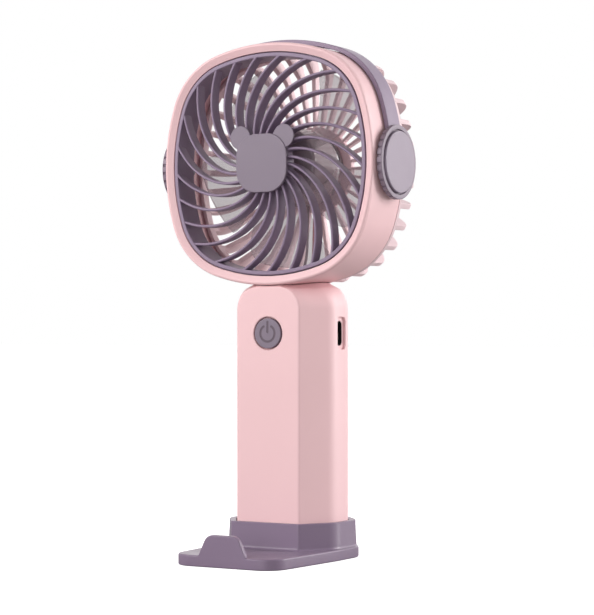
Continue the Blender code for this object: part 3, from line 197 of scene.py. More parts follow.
# Phone stand.
STAND_LOW, STAND_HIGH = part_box("phone_stand")
PLATE_THICK = 4.3 * MM
PLATE_FRONT_HALF = 22.5 * MM
PLATE_FRONT_CORNER = 9.0 * MM
PLATE_MARGIN = 3.9 * MM
PLATE_BACK_MARGIN = 2.3 * MM
PLATE_SIDE_FRONT_Y = -8.0 * MM
PLATE_SIDE_ROUND, PLATE_CHEEK_ROUND, PLATE_BACK_ROUND = 9 * MM, 12 * MM, 3 * MM
COLLAR_TOP_Z = STAND_HIGH.z
COLLAR_MARGIN = 2.3 * MM
LIP_BASE_HALF = 10.3 * MM
LIP_TOP_HALF = 6.6 * MM
LIP_TOP_Z = 12.1 * MM
LIP_THICK = 2.2 * MM
COVE_RISE, COVE_SPREAD, COVE_SWEEP = 1.2 * MM, 0.4 * MM, 0.9 * MM


# ---- materials

def node(tree, kind, **settings):
    made = tree.nodes.new(kind)
    for name, value in settings.items():
        setattr(made, name, value)
    return made


def noise(tree, scale, detail):
    """Noise over the piece's own coordinates, so that it stays on the surface."""
    place = node(tree, "ShaderNodeTexCoord")
    made = node(tree, "ShaderNodeTexNoise")
    made.inputs["Scale"].default_value = scale
    made.inputs["Detail"].default_value = detail
    tree.links.new(place.outputs["Object"], made.inputs["Vector"])
    return made.outputs["Fac"]


def spread(tree, factor, low, high):
    """Maps a noise factor's middle part to the range low to high."""
    made = node(tree, "ShaderNodeMapRange")
    made.inputs["From Min"].default_value = 0.3
    made.inputs["From Max"].default_value = 0.7
    made.inputs["To Min"].default_value = low
    made.inputs["To Max"].default_value = high
    tree.links.new(factor, made.inputs["Value"])
    return made.outputs["Result"]


def blended(tree, factor, first, second):
    made = node(tree, "ShaderNodeMix", data_type="RGBA")
    made.inputs["A"].default_value = (*first, 1.0)
    made.inputs["B"].default_value = (*second, 1.0)
    tree.links.new(factor, made.inputs["Factor"])
    return made.outputs["Result"]


def bumped(tree, factor, depth, strength):
    made = node(tree, "ShaderNodeBump")
    made.inputs["Strength"].default_value = strength
    made.inputs["Distance"].default_value = depth
    tree.links.new(factor, made.inputs["Height"])
    return made.outputs["Normal"]


def maths(tree, operation, first, second):
    """One arithmetic step on two outputs or numbers."""
    step = node(tree, "ShaderNodeMath", operation=operation)
    for socket, value in zip(step.inputs, (first, second)):
        if isinstance(value, (int, float)):
            socket.default_value = value
        else:
            tree.links.new(value, socket)
    return step.outputs[0]


def surface(name, colour, tint, gloss, relief):
    """A material with a noise each for tint and gloss, as (scale, detail, low, high), and for
    relief, as (scale, detail, depth, strength)."""
    material = bpy.data.materials.new(name)
    material.use_nodes = True
    tree = material.node_tree
    shader = tree.nodes["Principled BSDF"]
    scale, detail, *shares = tint
    shades = [tuple(channel * share for channel in colour) for share in shares]
    mottle = spread(tree, noise(tree, scale, detail), 0.0, 1.0)
    tree.links.new(blended(tree, mottle, *shades), shader.inputs["Base Color"])
    scale, detail, low, high = gloss
    tree.links.new(spread(tree, noise(tree, scale, detail), low, high), shader.inputs["Roughness"])
    scale, detail, depth, strength = relief
    tree.links.new(bumped(tree, noise(tree, scale, detail), depth, strength),
                   shader.inputs["Normal"])
    return material, shader.inputs


def moulded_plastic(name, colour, roughness, specular=0.4):
    """Satin moulded plastic: faint flow marks, uneven gloss and a fine spark-eroded grain."""
    material, sockets = surface(name, colour, (22.0, 4.0, 0.975, 1.02),
                                (160.0, 3.0, roughness - 0.04, roughness + 0.05),
                                (2600.0, 2.0, 0.012 * MM, 0.5))
    sockets["Specular IOR Level"].default_value = specular
    sockets["Coat Weight"].default_value = 0.06
    sockets["Coat Roughness"].default_value = 0.25
    return material


def smoked_plastic(name, colour, alpha):
    """Clear plastic with a smoke tint, a little cloudy."""
    material, sockets = surface(name, colour, (60.0, 4.0, 0.9, 1.1), (300.0, 3.0, 0.12, 0.22),
                                (900.0, 3.0, 0.01 * MM, 0.4))
    sockets["Alpha"].default_value = alpha
    sockets["IOR"].default_value = 1.5
    return material


def metal(name, colour, roughness, streaks=900.0):
    """Plated or rolled metal with fine streaks and a little tarnish."""
    material, sockets = surface(name, colour, (140.0, 5.0, 0.8, 1.0),
                                (streaks, 2.0, roughness - 0.06, roughness + 0.1),
                                (streaks * 2.0, 3.0, 0.01 * MM, 0.3))
    sockets["Metallic"].default_value = 1.0
    return material


PINK = moulded_plastic("pink_satin", (0.868, 0.578, 0.600), 0.44)
# Painted light: a paler, greyer copy of the shell's pink for the rear grille and its disc. It
# stands in for soft hazy light on their shaded fins and inner faces.
PINK_PAINTED_HAZE = moulded_plastic("pink_satin_painted_haze", (0.79, 0.605, 0.635), 0.46)
MAUVE = moulded_plastic("mauve_satin", (0.264, 0.196, 0.286), 0.40)
BADGE_MAUVE = moulded_plastic("badge_mauve", (0.222, 0.178, 0.232), 0.42)
DISC_MAUVE = moulded_plastic("disc_mauve", (0.285, 0.230, 0.298), 0.40)
RING_MAUVE = moulded_plastic("ring_mauve", (0.245, 0.192, 0.248), 0.42)
DARK_MAUVE = moulded_plastic("dark_mauve", (0.120, 0.085, 0.115), 0.5)
STAND_MAUVE = moulded_plastic("stand_mauve", (0.232, 0.172, 0.252), 0.36)
SMOKE = smoked_plastic("smoke_clear", (0.56, 0.46, 0.50), 0.40)
SMOKE_DEEP = smoked_plastic("smoke_deep", (0.42, 0.345, 0.375), 0.72)
STEEL = metal("plated_steel", (0.62, 0.62, 0.64), 0.38)
DARK_STEEL = metal("dark_steel", (0.16, 0.155, 0.16), 0.4)
COPPER = metal("enamelled_copper", (0.72, 0.36, 0.2), 0.34, 1800.0)
BOARD = moulded_plastic("solder_mask", (0.03, 0.18, 0.09), 0.3)
BLACK = moulded_plastic("black_moulding", (0.018, 0.018, 0.02), 0.45)
# Near-black with little shine: the contact tongue's real black plastic, and painted shade lining
# the port's inside.
TONGUE_BLACK_AND_PAINTED_SHADE = moulded_plastic("tongue_black_and_painted_port_shade", (0.004, 0.004, 0.004), 0.7, 0.1)
WRAP = moulded_plastic("shrink_wrap", (0.05, 0.22, 0.45), 0.3)
RED_SLEEVE = moulded_plastic("red_sleeve", (0.55, 0.03, 0.03), 0.4)


# ---- outlines

def fillet(before, corner, after, radius, steps):
    """Points of an arc of the given radius that rounds one corner of an outline."""
    before, corner, after = Vector(before), Vector(corner), Vector(after)
    if radius <= 0.0:
        return [corner]
    to_before = (before - corner).normalized()
    to_after = (after - corner).normalized()
    half = to_before.angle(to_after) / 2
    reach = radius / math.tan(half)
    centre = corner + (to_before + to_after).normalized() * radius / math.sin(half)
    start = corner + to_before * reach - centre
    end = corner + to_after * reach - centre
    turn = math.atan2(start.x * end.y - start.y * end.x, start.dot(end))
    return [centre + Matrix.Rotation(turn * step / steps, 2) @ start for step in range(steps + 1)]


def rounded(corners, steps=5):
    """A closed outline from (u, v, radius) corners, each rounded by its own radius."""
    points = []
    for index, (u, v, radius) in enumerate(corners):
        before = corners[index - 1][:2]
        after = corners[(index + 1) % len(corners)][:2]
        points.extend(fillet(before, (u, v), after, radius, steps))
    return points


def inset(outline, distance):
    """A closed counter-clockwise outline moved inward by a distance."""
    moved = []
    for index, point in enumerate(outline):
        before = (point - outline[index - 1]).normalized()
        after = (outline[(index + 1) % len(outline)] - point).normalized()
        normal = (Vector((-before.y, before.x)) + Vector((-after.y, after.x))).normalized()
        lean = max(0.4, normal.dot(Vector((-after.y, after.x))))
        moved.append(point + normal * distance / lean)
    return moved


def quarter(steps):
    """Even angles from 0 to a right angle."""
    return [math.pi / 2 * step / steps for step in range(steps + 1)]


def edge_levels(low, high, radius):
    """(inset, height) pairs from low to high, with both edges rounded by radius."""
    angles = quarter(4)
    lower = [(radius * (1 - math.sin(a)), low + radius * (1 - math.cos(a))) for a in angles]
    upper = [(radius * (1 - math.cos(a)), high - radius * (1 - math.sin(a))) for a in angles]
    return lower + upper


def outline_centres():
    """The side arc's centre, the corner arc's, and half the side arc's angle."""
    side_centre = OPENING_HALF - SIDE_ARC
    half_angle = math.pi / 4 - math.asin(-side_centre / ((SIDE_ARC - CORNER_ARC) * math.sqrt(2)))
    corner_centre = side_centre + (SIDE_ARC - CORNER_ARC) * math.cos(half_angle)
    return (Vector((side_centre, 0.0)), Vector((corner_centre, corner_centre)), half_angle)


def outline_stations(side_steps=20, corner_steps=26):
    """(centre, radius, direction) of every station round the head's outline."""
    side_centre, corner_centre, half_angle = outline_centres()
    arcs = ((side_centre, SIDE_ARC, -half_angle, half_angle, side_steps),
            (corner_centre, CORNER_ARC, half_angle, math.pi / 2 - half_angle, corner_steps))
    stations = []
    for turn in range(4):
        spin = Matrix.Rotation(turn * math.pi / 2, 2)
        for centre, radius, first, last, steps in arcs:
            for step in range(steps):
                angle = first + (last - first) * step / steps
                direction = Vector((math.cos(angle), math.sin(angle)))
                stations.append((spin @ centre, radius, spin @ direction))
    return stations


def on_outline(station, offset, y):
    centre, radius, direction = station
    place = centre + direction * (radius + offset)
    return Vector((place.x, y, HEAD_Z + place.y))


def outline_radius(angle, offset):
    """The distance from the head's centre to its outline, moved outward by offset."""
    side_centre, corner_centre, half_angle = outline_centres()
    folded = abs((angle + math.pi / 4) % (math.pi / 2) - math.pi / 4)
    direction = Vector((math.cos(folded), math.sin(folded)))
    distance = 0.0
    for centre, radius in ((side_centre, SIDE_ARC), (corner_centre, CORNER_ARC)):
        along = direction.dot(centre)
        reach = radius + offset
        distance = along + math.sqrt(reach ** 2 - centre.length_squared + along ** 2)
        hit = direction * distance - centre
        if math.atan2(hit.y, hit.x) <= half_angle:
            break
    return distance


# ---- mesh tools

def skin(bm, rings, closed=False):
    """Joins rings of points with faces; an open run of rings is capped at both ends."""
    rows = [[bm.verts.new(point) for point in ring] for ring in rings]
    pairs = list(zip(rows, rows[1:]))
    if closed:
        pairs.append((rows[-1], rows[0]))
    count = len(rows[0])
    for below, above in pairs:
        for index in range(count):
            after = (index + 1) % count
            bm.faces.new((below[index], below[after], above[after], above[index]))
    if not closed:
        bm.faces.new(list(reversed(rows[0])))
        bm.faces.new(rows[-1])


def lathe(bm, profile, place, closed=False, steps=96, ripple=None):
    """Turns (radius, height) pairs round local Z, moved by place. What ripple gives is added to
    the radius. A closed profile makes a ring; an open one is capped at both ends."""
    rings = []
    for radius, height in profile:
        ring = []
        for step in range(steps):
            angle = 2 * math.pi * step / steps
            reach = radius + (ripple(angle, height, radius) if ripple else 0.0)
            ring.append(place @ Vector((reach * math.cos(angle), reach * math.sin(angle), height)))
        rings.append(ring)
    skin(bm, rings, closed)


def lifted(outline, height, place=Matrix.Identity(4)):
    """An outline put at a height along local Z and moved by place."""
    return [place @ Vector((point.x, point.y, height)) for point in outline]


def slab(bm, outline, levels, place=Matrix.Identity(4)):
    """A plate of the outline: (inset, height) levels along local Z, moved by place."""
    skin(bm, [lifted(inset(outline, depth) if depth else outline, height, place)
              for depth, height in levels])


def placed(name, data):
    item = bpy.data.objects.new(name, data)
    bpy.context.scene.collection.objects.link(item)
    return item


def finish_mesh(name, bm, material):
    bmesh.ops.recalc_face_normals(bm, faces=bm.faces)
    mesh = bpy.data.meshes.new(name)
    bm.to_mesh(mesh)
    bm.free()
    if material:
        mesh.materials.append(material)
    return placed(name, mesh)


def turned(name, profile, place, material=None, steps=96):
    """A lathed object on its own, such as a cutter."""
    bm = bmesh.new()
    lathe(bm, profile, place, steps=steps)
    return finish_mesh(name, bm, material)


def plate(name, outline, levels, place, material=None):
    """A slab on its own, such as a cutter."""
    bm = bmesh.new()
    slab(bm, outline, levels, place)
    return finish_mesh(name, bm, material)


def shade_smoothly(mesh, degrees=SHARP_ANGLE):
    """Smooth shading that keeps the edges sharper than the angle."""
    mesh.shade_smooth()
    mesh.set_sharp_from_angle(angle=math.radians(degrees))


def piece(name, bm, material, body, slot, *stands_for, degrees=SHARP_ANGLE):
    """A piece from a bmesh: smooth, riding on its body, standing for the given CAD nodes."""
    settle(finish_mesh(name, bm, material), body, slot, *stands_for, degrees=degrees)


def settle(item, body, slot, *stands_for, degrees=SHARP_ANGLE):
    """The same for an object that is already made."""
    shade_smoothly(item.data, degrees)
    weighted = item.modifiers.new("even_normals", "WEIGHTED_NORMAL")
    weighted.keep_sharp = True
    weighted.weight = 50
    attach(item, body)
    if stands_for:
        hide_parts(*stands_for)


def carve(item, *cutters):
    """Cuts the cutters out of an object, and removes them."""
    for cutter in cutters:
        modifier = item.modifiers.new("cut", "BOOLEAN")
        modifier.operation = "DIFFERENCE"
        modifier.solver = "EXACT"
        modifier.object = cutter
    bpy.context.view_layer.update()
    graph = bpy.context.evaluated_depsgraph_get()
    mesh = bpy.data.meshes.new_from_object(item.evaluated_get(graph))
    item.modifiers.clear()
    item.data = mesh
    for cutter in cutters:
        bpy.data.objects.remove(cutter, do_unlink=True)
    return item


FACING_FRONT = Matrix.Rotation(math.pi / 2, 4, "X")
FACING_BACK = Matrix.Rotation(-math.pi / 2, 4, "X")
HEAD_FRONT = Matrix.Translation((0.0, 0.0, HEAD_Z)) @ FACING_FRONT
SIDEWAYS = Matrix(((0, 0, 1, 0), (1, 0, 0, 0), (0, 1, 0, 0), (0, 0, 0, 1)))
QUADRANTS = ((1, 1), (-1, 1), (-1, -1), (1, -1))
BUTTON_PLACE = Matrix.Translation((0.0, 0.0, BUTTON_Z)) @ FACING_FRONT
PORT_PLACE = Matrix.Translation((0.0, USB_Y, USB_Z)) @ SIDEWAYS


def forward(profile):
    """(radius, y) pairs as (radius, height) along the axis that faces the front."""
    return [(radius, -y) for radius, y in profile]


def soft_cup(radius, front, edge, steps, middle=0.3):
    """(radius, y) pairs of a round face at front whose rim is rounded by edge."""
    return [(middle * radius, front)] + [
        (radius - edge * (1 - math.sin(a)), front + edge * (1 - math.cos(a)))
        for a in quarter(steps)]


# ---- head

def sweep_outline(bm, profile):
    """The head's outline swept with a closed (offset, y) profile."""
    rings = [[on_outline(station, u, y) for u, y in profile] for station in outline_stations()]
    skin(bm, rings, closed=True)


def make_front_shell():
    outer = SHELL_OFFSET
    inner = outer - SHELL_WALL
    profile = rounded([
        (0.0, RIM_Y + 1.25 * MM, 0.15 * MM), (2.45 * MM, RIM_Y - 0.02 * MM, 0.7 * MM),
        (3.15 * MM, RIM_Y + 0.35 * MM, 0.5 * MM), (outer, RIM_Y + 1.5 * MM, 0.9 * MM),
        (outer, SHELL_REAR_Y, 0.25 * MM), (inner, SHELL_REAR_Y, 0.0),
        (inner, LIP_REAR_Y, 0.0), (0.0, LIP_REAR_Y, 0.15 * MM),
    ])
    bm = bmesh.new()
    sweep_outline(bm, profile)
    piece("front_shell_fine", bm, PINK, "fan", "pink_plastic", "front_shell")


def rib_front(radius):
    """The depth of the ribs' front edges: a shallow dome over the opening."""
    return RIB_FRONT_Y - GRILLE_DOME * max(0.0, 1.0 - (radius / OPENING_HALF) ** 2)


def rib_section(front, rear):
    """A rib's cross-section as (side, y): a round front edge and slightly drafted sides."""
    half = RIB_THICK / 2
    rear_half = RIB_REAR_THICK / 2
    points = [(half * math.sin(angle), front + half * (1 - math.cos(angle)))
              for angle in map(math.radians, range(-90, 91, 30))]
    return points + [(rear_half, rear - 0.15 * MM), (rear_half - 0.15 * MM, rear),
                     (0.15 * MM - rear_half, rear), (-rear_half, rear - 0.15 * MM)]


def add_rib(bm, start_angle, steps=26):
    """A curved rib from under the badge to inside the skirt's wall."""
    start = GRILLE_HUB_RADIUS - 1.5 * MM
    reach = OPENING_HALF - start

    def angle_at(radius):
        return start_angle - RIB_SWEEP * (radius - start) / reach

    end = OPENING_HALF
    for _ in range(30):
        end = outline_radius(angle_at(end), SKIRT_OFFSET - SKIRT_WALL / 2)
    rings = []
    for step in range(steps + 1):
        radius = start + (end - start) * step / steps
        angle = angle_at(radius)
        middle = Vector((radius * math.cos(angle), radius * math.sin(angle)))
        slope = -RIB_SWEEP / reach * radius
        along = Vector((math.cos(angle) - slope * math.sin(angle),
                        math.sin(angle) + slope * math.cos(angle))).normalized()
        side = Vector((-along.y, along.x))
        share = radius / OPENING_HALF
        front = rib_front(radius) + 0.15 * MM * share
        depth = RIB_DEPTH_HUB + (RIB_DEPTH_RING - RIB_DEPTH_HUB) * share
        ring = []
        for offset, y in rib_section(front, front + depth):
            place = middle + side * offset
            ring.append(Vector((place.x, y, HEAD_Z + place.y)))
        rings.append(ring)
    skin(bm, rings)


def make_front_grille():
    outer = SKIRT_OFFSET
    inner = outer - SKIRT_WALL
    flange_front = LIP_REAR_Y + SEAM
    flange_rear = flange_front + FLANGE_THICK
    profile = rounded([
        (outer, RIB_FRONT_Y, 0.3 * MM), (outer, flange_front, 0.0),
        (FLANGE_OFFSET, flange_front, 0.0), (FLANGE_OFFSET, flange_rear, 0.0),
        (outer, flange_rear, 0.0), (outer, SKIRT_REAR_Y, 0.2 * MM),
        (inner, SKIRT_REAR_Y, 0.2 * MM), (inner, RIB_FRONT_Y, 0.3 * MM),
    ])
    bm = bmesh.new()
    sweep_outline(bm, profile)
    edge = 0.4 * MM
    hub = GRILLE_HUB_RADIUS
    lathe(bm, forward([(hub - edge, GRILLE_HUB_REAR_Y), (hub, GRILLE_HUB_REAR_Y - edge),
                       (hub, GRILLE_HUB_FRONT_Y + edge), (hub - edge, GRILLE_HUB_FRONT_Y)]),
          HEAD_FRONT)
    for index in range(RIB_COUNT):
        add_rib(bm, 2 * math.pi * index / RIB_COUNT)
    piece("front_grille_fine", bm, MAUVE, "fan", "mauve_plastic", "front_grille", degrees=40.0)


def rounded_rectangle(half_width, half_height, radius, steps):
    return rounded([(sx * half_width, sy * half_height, radius) for sx, sy in QUADRANTS], steps)


def make_hub_badge():
    """A plain rounded square plate over two round lobes that sit a step lower."""
    bm = bmesh.new()
    front, rear = -BADGE_LOW.y, -BADGE_HIGH.y
    slab(bm, rounded_rectangle(BADGE_HALF, BADGE_HALF, BADGE_CORNER, 20),
         edge_levels(rear, front, 0.4 * MM), HEAD_FRONT)
    for side in (1, -1):
        place = HEAD_FRONT @ Matrix.Translation((side * LOBE_X, LOBE_Z, 0.0))
        levels = edge_levels(rear + 0.05 * MM, front - LOBE_STEP, 0.3 * MM)
        lathe(bm, [(LOBE_RADIUS - depth, height) for depth, height in levels], place, steps=56)
    piece("hub_badge_fine", bm, BADGE_MAUVE, "fan", "light_mauve_plastic", "hub_badge")


def fin_outline(angle):
    """One rear fin in its radial plane: down the side, round, and inward."""
    edge = outline_radius(angle, SHELL_OFFSET - 0.05 * MM)
    inner = outline_radius(angle, FIN_FOOT_OFFSET)
    hub = REAR_DISC_RADIUS - 1.5 * MM
    return rounded([
        (inner, FIN_FOOT_Y, 0.0), (edge, FIN_FOOT_Y, 0.0), (edge, REAR_FACE_Y, FIN_CORNER_RADIUS),
        (hub, REAR_FACE_Y, 0.0), (hub, REAR_FACE_Y - FIN_DEPTH + 0.4 * MM, 0.0),
        (inner - FIN_BEND_IN, REAR_FACE_Y - FIN_DEPTH, 3.0 * MM),
        (inner, REAR_FACE_Y - FIN_BEND_DEPTH, 2.0 * MM),
    ], 10)


def add_fin(bm, angle):
    """A fin that is thick at its tip and thin at the disc, with softened edges."""
    spoke = Vector((math.cos(angle), 0.0, math.sin(angle)))
    across = Vector((-math.sin(angle), 0.0, math.cos(angle)))
    outline = fin_outline(angle)
    soft = 0.35 * MM
    rings = []
    for depth, share in ((soft, 1.0), (0.1 * MM, 0.9), (0.0, 0.6), (0.0, -0.6), (0.1 * MM, -0.9),
                         (soft, -1.0)):
        ring = []
        for point in (inset(outline, depth) if depth else outline):
            along = (point.x - REAR_DISC_RADIUS) / (OPENING_HALF - REAR_DISC_RADIUS)
            along = min(1.0, max(0.0, along))
            half = (FIN_THICK_HUB + (FIN_THICK_TIP - FIN_THICK_HUB) * along) / 2
            ring.append(spoke * point.x + across * half * share + Vector((0.0, point.y, HEAD_Z)))
        rings.append(ring)
    skin(bm, rings)


def make_rear_grille():
    outer = SHELL_OFFSET
    front = SHELL_REAR_Y + SEAM
    rear = front + REAR_RING_DEPTH
    bm = bmesh.new()
    sweep_outline(bm, rounded([
        (outer, front, 0.15 * MM), (outer, rear, 0.4 * MM), (0.6 * MM, rear, 0.2 * MM),
        (0.0, rear - 0.6 * MM, 0.2 * MM), (0.0, SPIGOT_FRONT_Y, 0.0),
        (SPIGOT_OFFSET, SPIGOT_FRONT_Y, 0.0), (SPIGOT_OFFSET, front, 0.0),
    ]))
    for index in range(FIN_COUNT):
        add_fin(bm, 2 * math.pi * index / FIN_COUNT)
    # The fins take the paler, greyer copy of the pink, which is painted light on their shaded
    # faces.
    piece("rear_grille_fine", bm, PINK_PAINTED_HAZE, "fan", "pink_plastic", "rear_grille")
    make_rear_disc()


def make_rear_disc():
    """The disc that the fins run into, with a sunk hole over each motor screw."""
    levels = edge_levels(-REAR_FACE_Y, -REAR_DISC_FRONT_Y, 0.4 * MM)
    # The disc takes the same paler, greyer copy of the pink, which is painted light.
    disc = turned("rear_disc", [(REAR_DISC_RADIUS - depth, height) for depth, height in levels],
                  HEAD_FRONT, PINK_PAINTED_HAZE)
    shaft, head, seat_y, chamfer = 1.5 * MM, 2.5 * MM, 19.8 * MM, 0.25 * MM
    profile = forward([(shaft, REAR_DISC_FRONT_Y - MM), (shaft, seat_y), (head, seat_y),
                       (head, REAR_FACE_Y - chamfer), (head + MM, REAR_FACE_Y - chamfer + MM)])
    sinks = []
    for side in (1, -1):
        place = HEAD_FRONT @ Matrix.Translation((side * MOTOR_SCREW_X, 0.0, 0.0))
        sinks.append(turned("sink", profile, place, steps=40))
    carve(disc, *sinks)
    settle(disc, "fan", "pink_plastic")


# ---- headband and side discs

def make_headband():
    """A flat band over the top of the shell; its ends run into the side rings."""
    inner = BAND_OFFSET - BAND_THICK
    profile = rounded([
        (BAND_OFFSET, BAND_LOW.y, 0.35 * MM), (BAND_OFFSET, BAND_HIGH.y, 0.35 * MM),
        (inner, BAND_HIGH.y, 0.15 * MM), (inner, BAND_LOW.y, 0.15 * MM),
    ], 4)
    end_z = DISC_Z + BAND_END_RISE
    rings = []
    for station in outline_stations():
        ring = [on_outline(station, u, y) for u, y in profile]
        if ring[0].z >= end_z and ring[0].z > HEAD_Z:
            rings.append(ring)
    rings.sort(key=lambda ring: math.atan2(ring[0].z - HEAD_Z, ring[0].x))
    bm = bmesh.new()
    skin(bm, [lifted(rings[0], end_z), *rings, lifted(rings[-1], end_z)])
    piece("headband_fine", bm, MAUVE, "fan", "mauve_plastic", "headband")


def notch_ripple(angle, height, radius):
    """Dips of the grip notches, only on the ring's outer wall and only on its inner part."""
    if height >= RING_LOW.x + NOTCH_TOP_RISE or radius < RING_RADIUS - NOTCH_DEPTH:
        return 0.0
    share = (angle * NOTCH_COUNT / (2 * math.pi)) % 1.0
    return -NOTCH_DEPTH if NOTCH_FROM < share < NOTCH_TO else 0.0


def disc_place(side):
    """Where a side disc is: its local Z points out of the head's side."""
    return (Matrix.Translation((0.0, DISC_Y, DISC_Z))
            @ Matrix.Rotation(side * math.pi / 2, 4, "Y"))


def make_side_ring(side, label):
    low = RING_LOW.x
    face = RING_HIGH.x
    floor = low + RING_FLOOR_RISE
    under = low + RING_UNDER_RISE
    seat = CAP_RADIUS + RING_SEAT_GAP
    notch_top = low + NOTCH_TOP_RISE
    wall = RING_RADIUS - 2.3 * MM
    bore = 2.0 * MM
    profile = rounded([
        (RING_RADIUS, face, 0.3 * MM), (RING_RADIUS, notch_top + 0.01 * MM, 0.0),
        (RING_RADIUS, notch_top - 0.01 * MM, 0.0), (RING_RADIUS, low, 0.15 * MM),
        (wall, low, 0.0), (wall, under, 0.0), (bore, under, 0.0), (bore, floor, 0.0),
        (seat, floor, 0.0), (seat, face, 0.2 * MM),
    ], 4)
    bm = bmesh.new()
    lathe(bm, profile, disc_place(side), closed=True, steps=NOTCH_COUNT * 13, ripple=notch_ripple)
    piece("side_ring_fine_" + label, bm, RING_MAUVE, "fan", "light_mauve_plastic",
          "side_ring_" + label)


def make_side_cap(side, label):
    face = CAP_HIGH.x
    under = RING_LOW.x + 1.75 * MM
    peg = 1.5 * MM
    profile = forward(soft_cup(CAP_RADIUS, -face, 0.4 * MM, 5, 0.4))
    profile += [(CAP_RADIUS, under), (peg, under), (peg, CAP_LOW.x)]
    bm = bmesh.new()
    lathe(bm, profile, disc_place(side), steps=112)
    piece("side_cap_fine_" + label, bm, DISC_MAUVE, "fan", "light_mauve_plastic",
          "side_cap_" + label)


# ---- impeller

def blade_point(index, along, chord):
    """A point of a blade's middle surface, along from root to tip and chord from edge to edge."""
    root = HUB_RADIUS - 0.7 * MM
    radius = root + (BLADE_RADIUS - root) * along
    span = math.radians(BLADE_SPAN_ROOT + BLADE_SPAN_GAIN * along)
    height = (BLADE_HEIGHT_ROOT - BLADE_HEIGHT_LOSS * along) * MM
    camber = BLADE_CAMBER * (1.0 - 4.0 * chord ** 2)
    angle = (BLADE_START + 2 * math.pi * index / BLADE_COUNT + span * chord
             + BLADE_LEAN * along ** 2)
    return Vector((radius * math.cos(angle), BLADE_MIDDLE_Y + height * chord + camber,
                   HEAD_Z + radius * math.sin(angle)))


def add_blade(bm, index, rows=14, columns=18):
    """A thin blade with rounded tip corners, as a closed sheet of two skins."""
    nudge = 0.01
    rings = []
    for row in range(rows + 1):
        along = row / rows
        past = max(0.0, (along - BLADE_TRIM_FROM) / (1.0 - BLADE_TRIM_FROM))
        trim = 1.0 - BLADE_TRIM * past ** 3
        middle = []
        for column in range(columns + 1):
            chord = (column / columns - 0.5) * trim
            here = blade_point(index, along, chord)
            ahead = (blade_point(index, along, chord + nudge)
                     - blade_point(index, along, chord - nudge))
            out = (blade_point(index, along + nudge, chord)
                   - blade_point(index, along - nudge, chord))
            edge = 1.0 - abs(2.0 * column / columns - 1.0) ** 8
            middle.append((here, ahead.cross(out).normalized()
                           * BLADE_HALF_THICK * (0.35 + 0.65 * edge)))
        rings.append([here + lift for here, lift in middle]
                     + [here - lift for here, lift in reversed(middle)])
    skin(bm, rings)


def make_impeller():
    bm = bmesh.new()
    lathe(bm, forward(soft_cup(HUB_RADIUS, HUB_FRONT_Y, 1.4 * MM, 6) + [
        (HUB_RADIUS, HUB_REAR_Y), (HUB_RADIUS - HUB_WALL, HUB_REAR_Y),
        (HUB_RADIUS - HUB_WALL, HUB_FRONT_Y + HUB_WALL), (HUB_BORE, HUB_FRONT_Y + HUB_WALL),
        (HUB_BORE, HUB_BOSS_REAR_Y)]), HEAD_FRONT)
    piece("impeller_hub", bm, SMOKE_DEEP, "rotor", "smoke_plastic", "impeller")
    bm = bmesh.new()
    for index in range(BLADE_COUNT):
        add_blade(bm, index)
    piece("impeller_blades", bm, SMOKE, "rotor", "smoke_plastic", degrees=50.0)


# ---- handle

def handle_section(half, facet, depth):
    """The handle's level section, counter-clockwise, with crisp facet edges and round cheeks."""
    side_front = FRONT_CHEEK_DEPTH - depth
    side_back = depth - BACK_CHEEK_DEPTH
    right = [(facet, -depth, FACET_ROUND), (half, side_front, CHEEK_ROUND),
             (half, side_back, CHEEK_ROUND), (facet, depth, FACET_ROUND)]
    left = [(-x, y, radius) for x, y, radius in reversed(right)]
    return rounded([left[-1], *right, *left[:-1]], 8)


def arc_inset(height, start, radius):
    """How far a shoulder of the given radius has come in at a height above its start."""
    above = min(max(0.0, height - start), radius)
    return radius - math.sqrt(radius ** 2 - above ** 2)


def handle_ring(height, shrink=0.0):
    """The handle's outline at a height, made smaller by shrink."""
    body = arc_inset(height, SHOULDER_Z, SHOULDER_RADIUS)
    facet = arc_inset(height, SHOULDER_Z - 0.3 * MM, FACET_RADIUS)
    depth = HANDLE_DEPTH - shrink - max(0.0, height - FACET_TOP_Z)
    half = HANDLE_HALF - shrink - SHOULDER_SHARE * body
    return lifted(handle_section(half, FACET_HALF - shrink / 2 - facet, depth), height)


def handle_body(name):
    """The handle's outer form with a softened foot, and its top cut to sit under the head."""
    low = HANDLE_LOW.z
    foot = 0.8 * MM
    rings = [handle_ring(low + foot * (1 - math.cos(a)), foot * (1 - math.sin(a)))
             for a in quarter(4)]
    rings += [handle_ring(low + (SHOULDER_Z - low) * share) for share in (0.25, 0.5, 0.75)]
    rise = FACET_TOP_Z - SHOULDER_Z
    rings += [handle_ring(SHOULDER_Z + rise * math.sin(a)) for a in quarter(14)]
    rings.append(lifted(handle_ring(HANDLE_TOP_Z - 0.2 * MM), HANDLE_TOP_Z))
    bm = bmesh.new()
    skin(bm, rings)
    body = finish_mesh(name, bm, PINK)
    bm = bmesh.new()
    skin(bm, [[on_outline(station, SHELL_OFFSET + SEAM, y) for station in outline_stations()]
              for y in (-30 * MM, 30 * MM)])
    return carve(body, finish_mesh("saddle", bm, None))


def cut_box(name, low, high):
    bm = bmesh.new()
    low, high = Vector(low), Vector(high)
    place = Matrix.Translation((low + high) / 2) @ Matrix.Diagonal((*(high - low), 1.0))
    bmesh.ops.create_cube(bm, size=1.0, matrix=place)
    return finish_mesh(name, bm, None)


def button_hole():
    """A round hole with a small chamfer at its mouth."""
    mouth = -HANDLE_DEPTH
    chamfer = 0.25 * MM
    profile = [(BUTTON_HOLE + chamfer + MM, mouth - MM), (BUTTON_HOLE, mouth + chamfer),
               (BUTTON_HOLE, mouth + 1.9 * MM)]
    return turned("button_hole", forward(profile), BUTTON_PLACE)


def port_outline():
    """The port's round-ended slot."""
    return rounded_rectangle(1.88 * MM, 4.77 * MM, 1.8 * MM, 8)


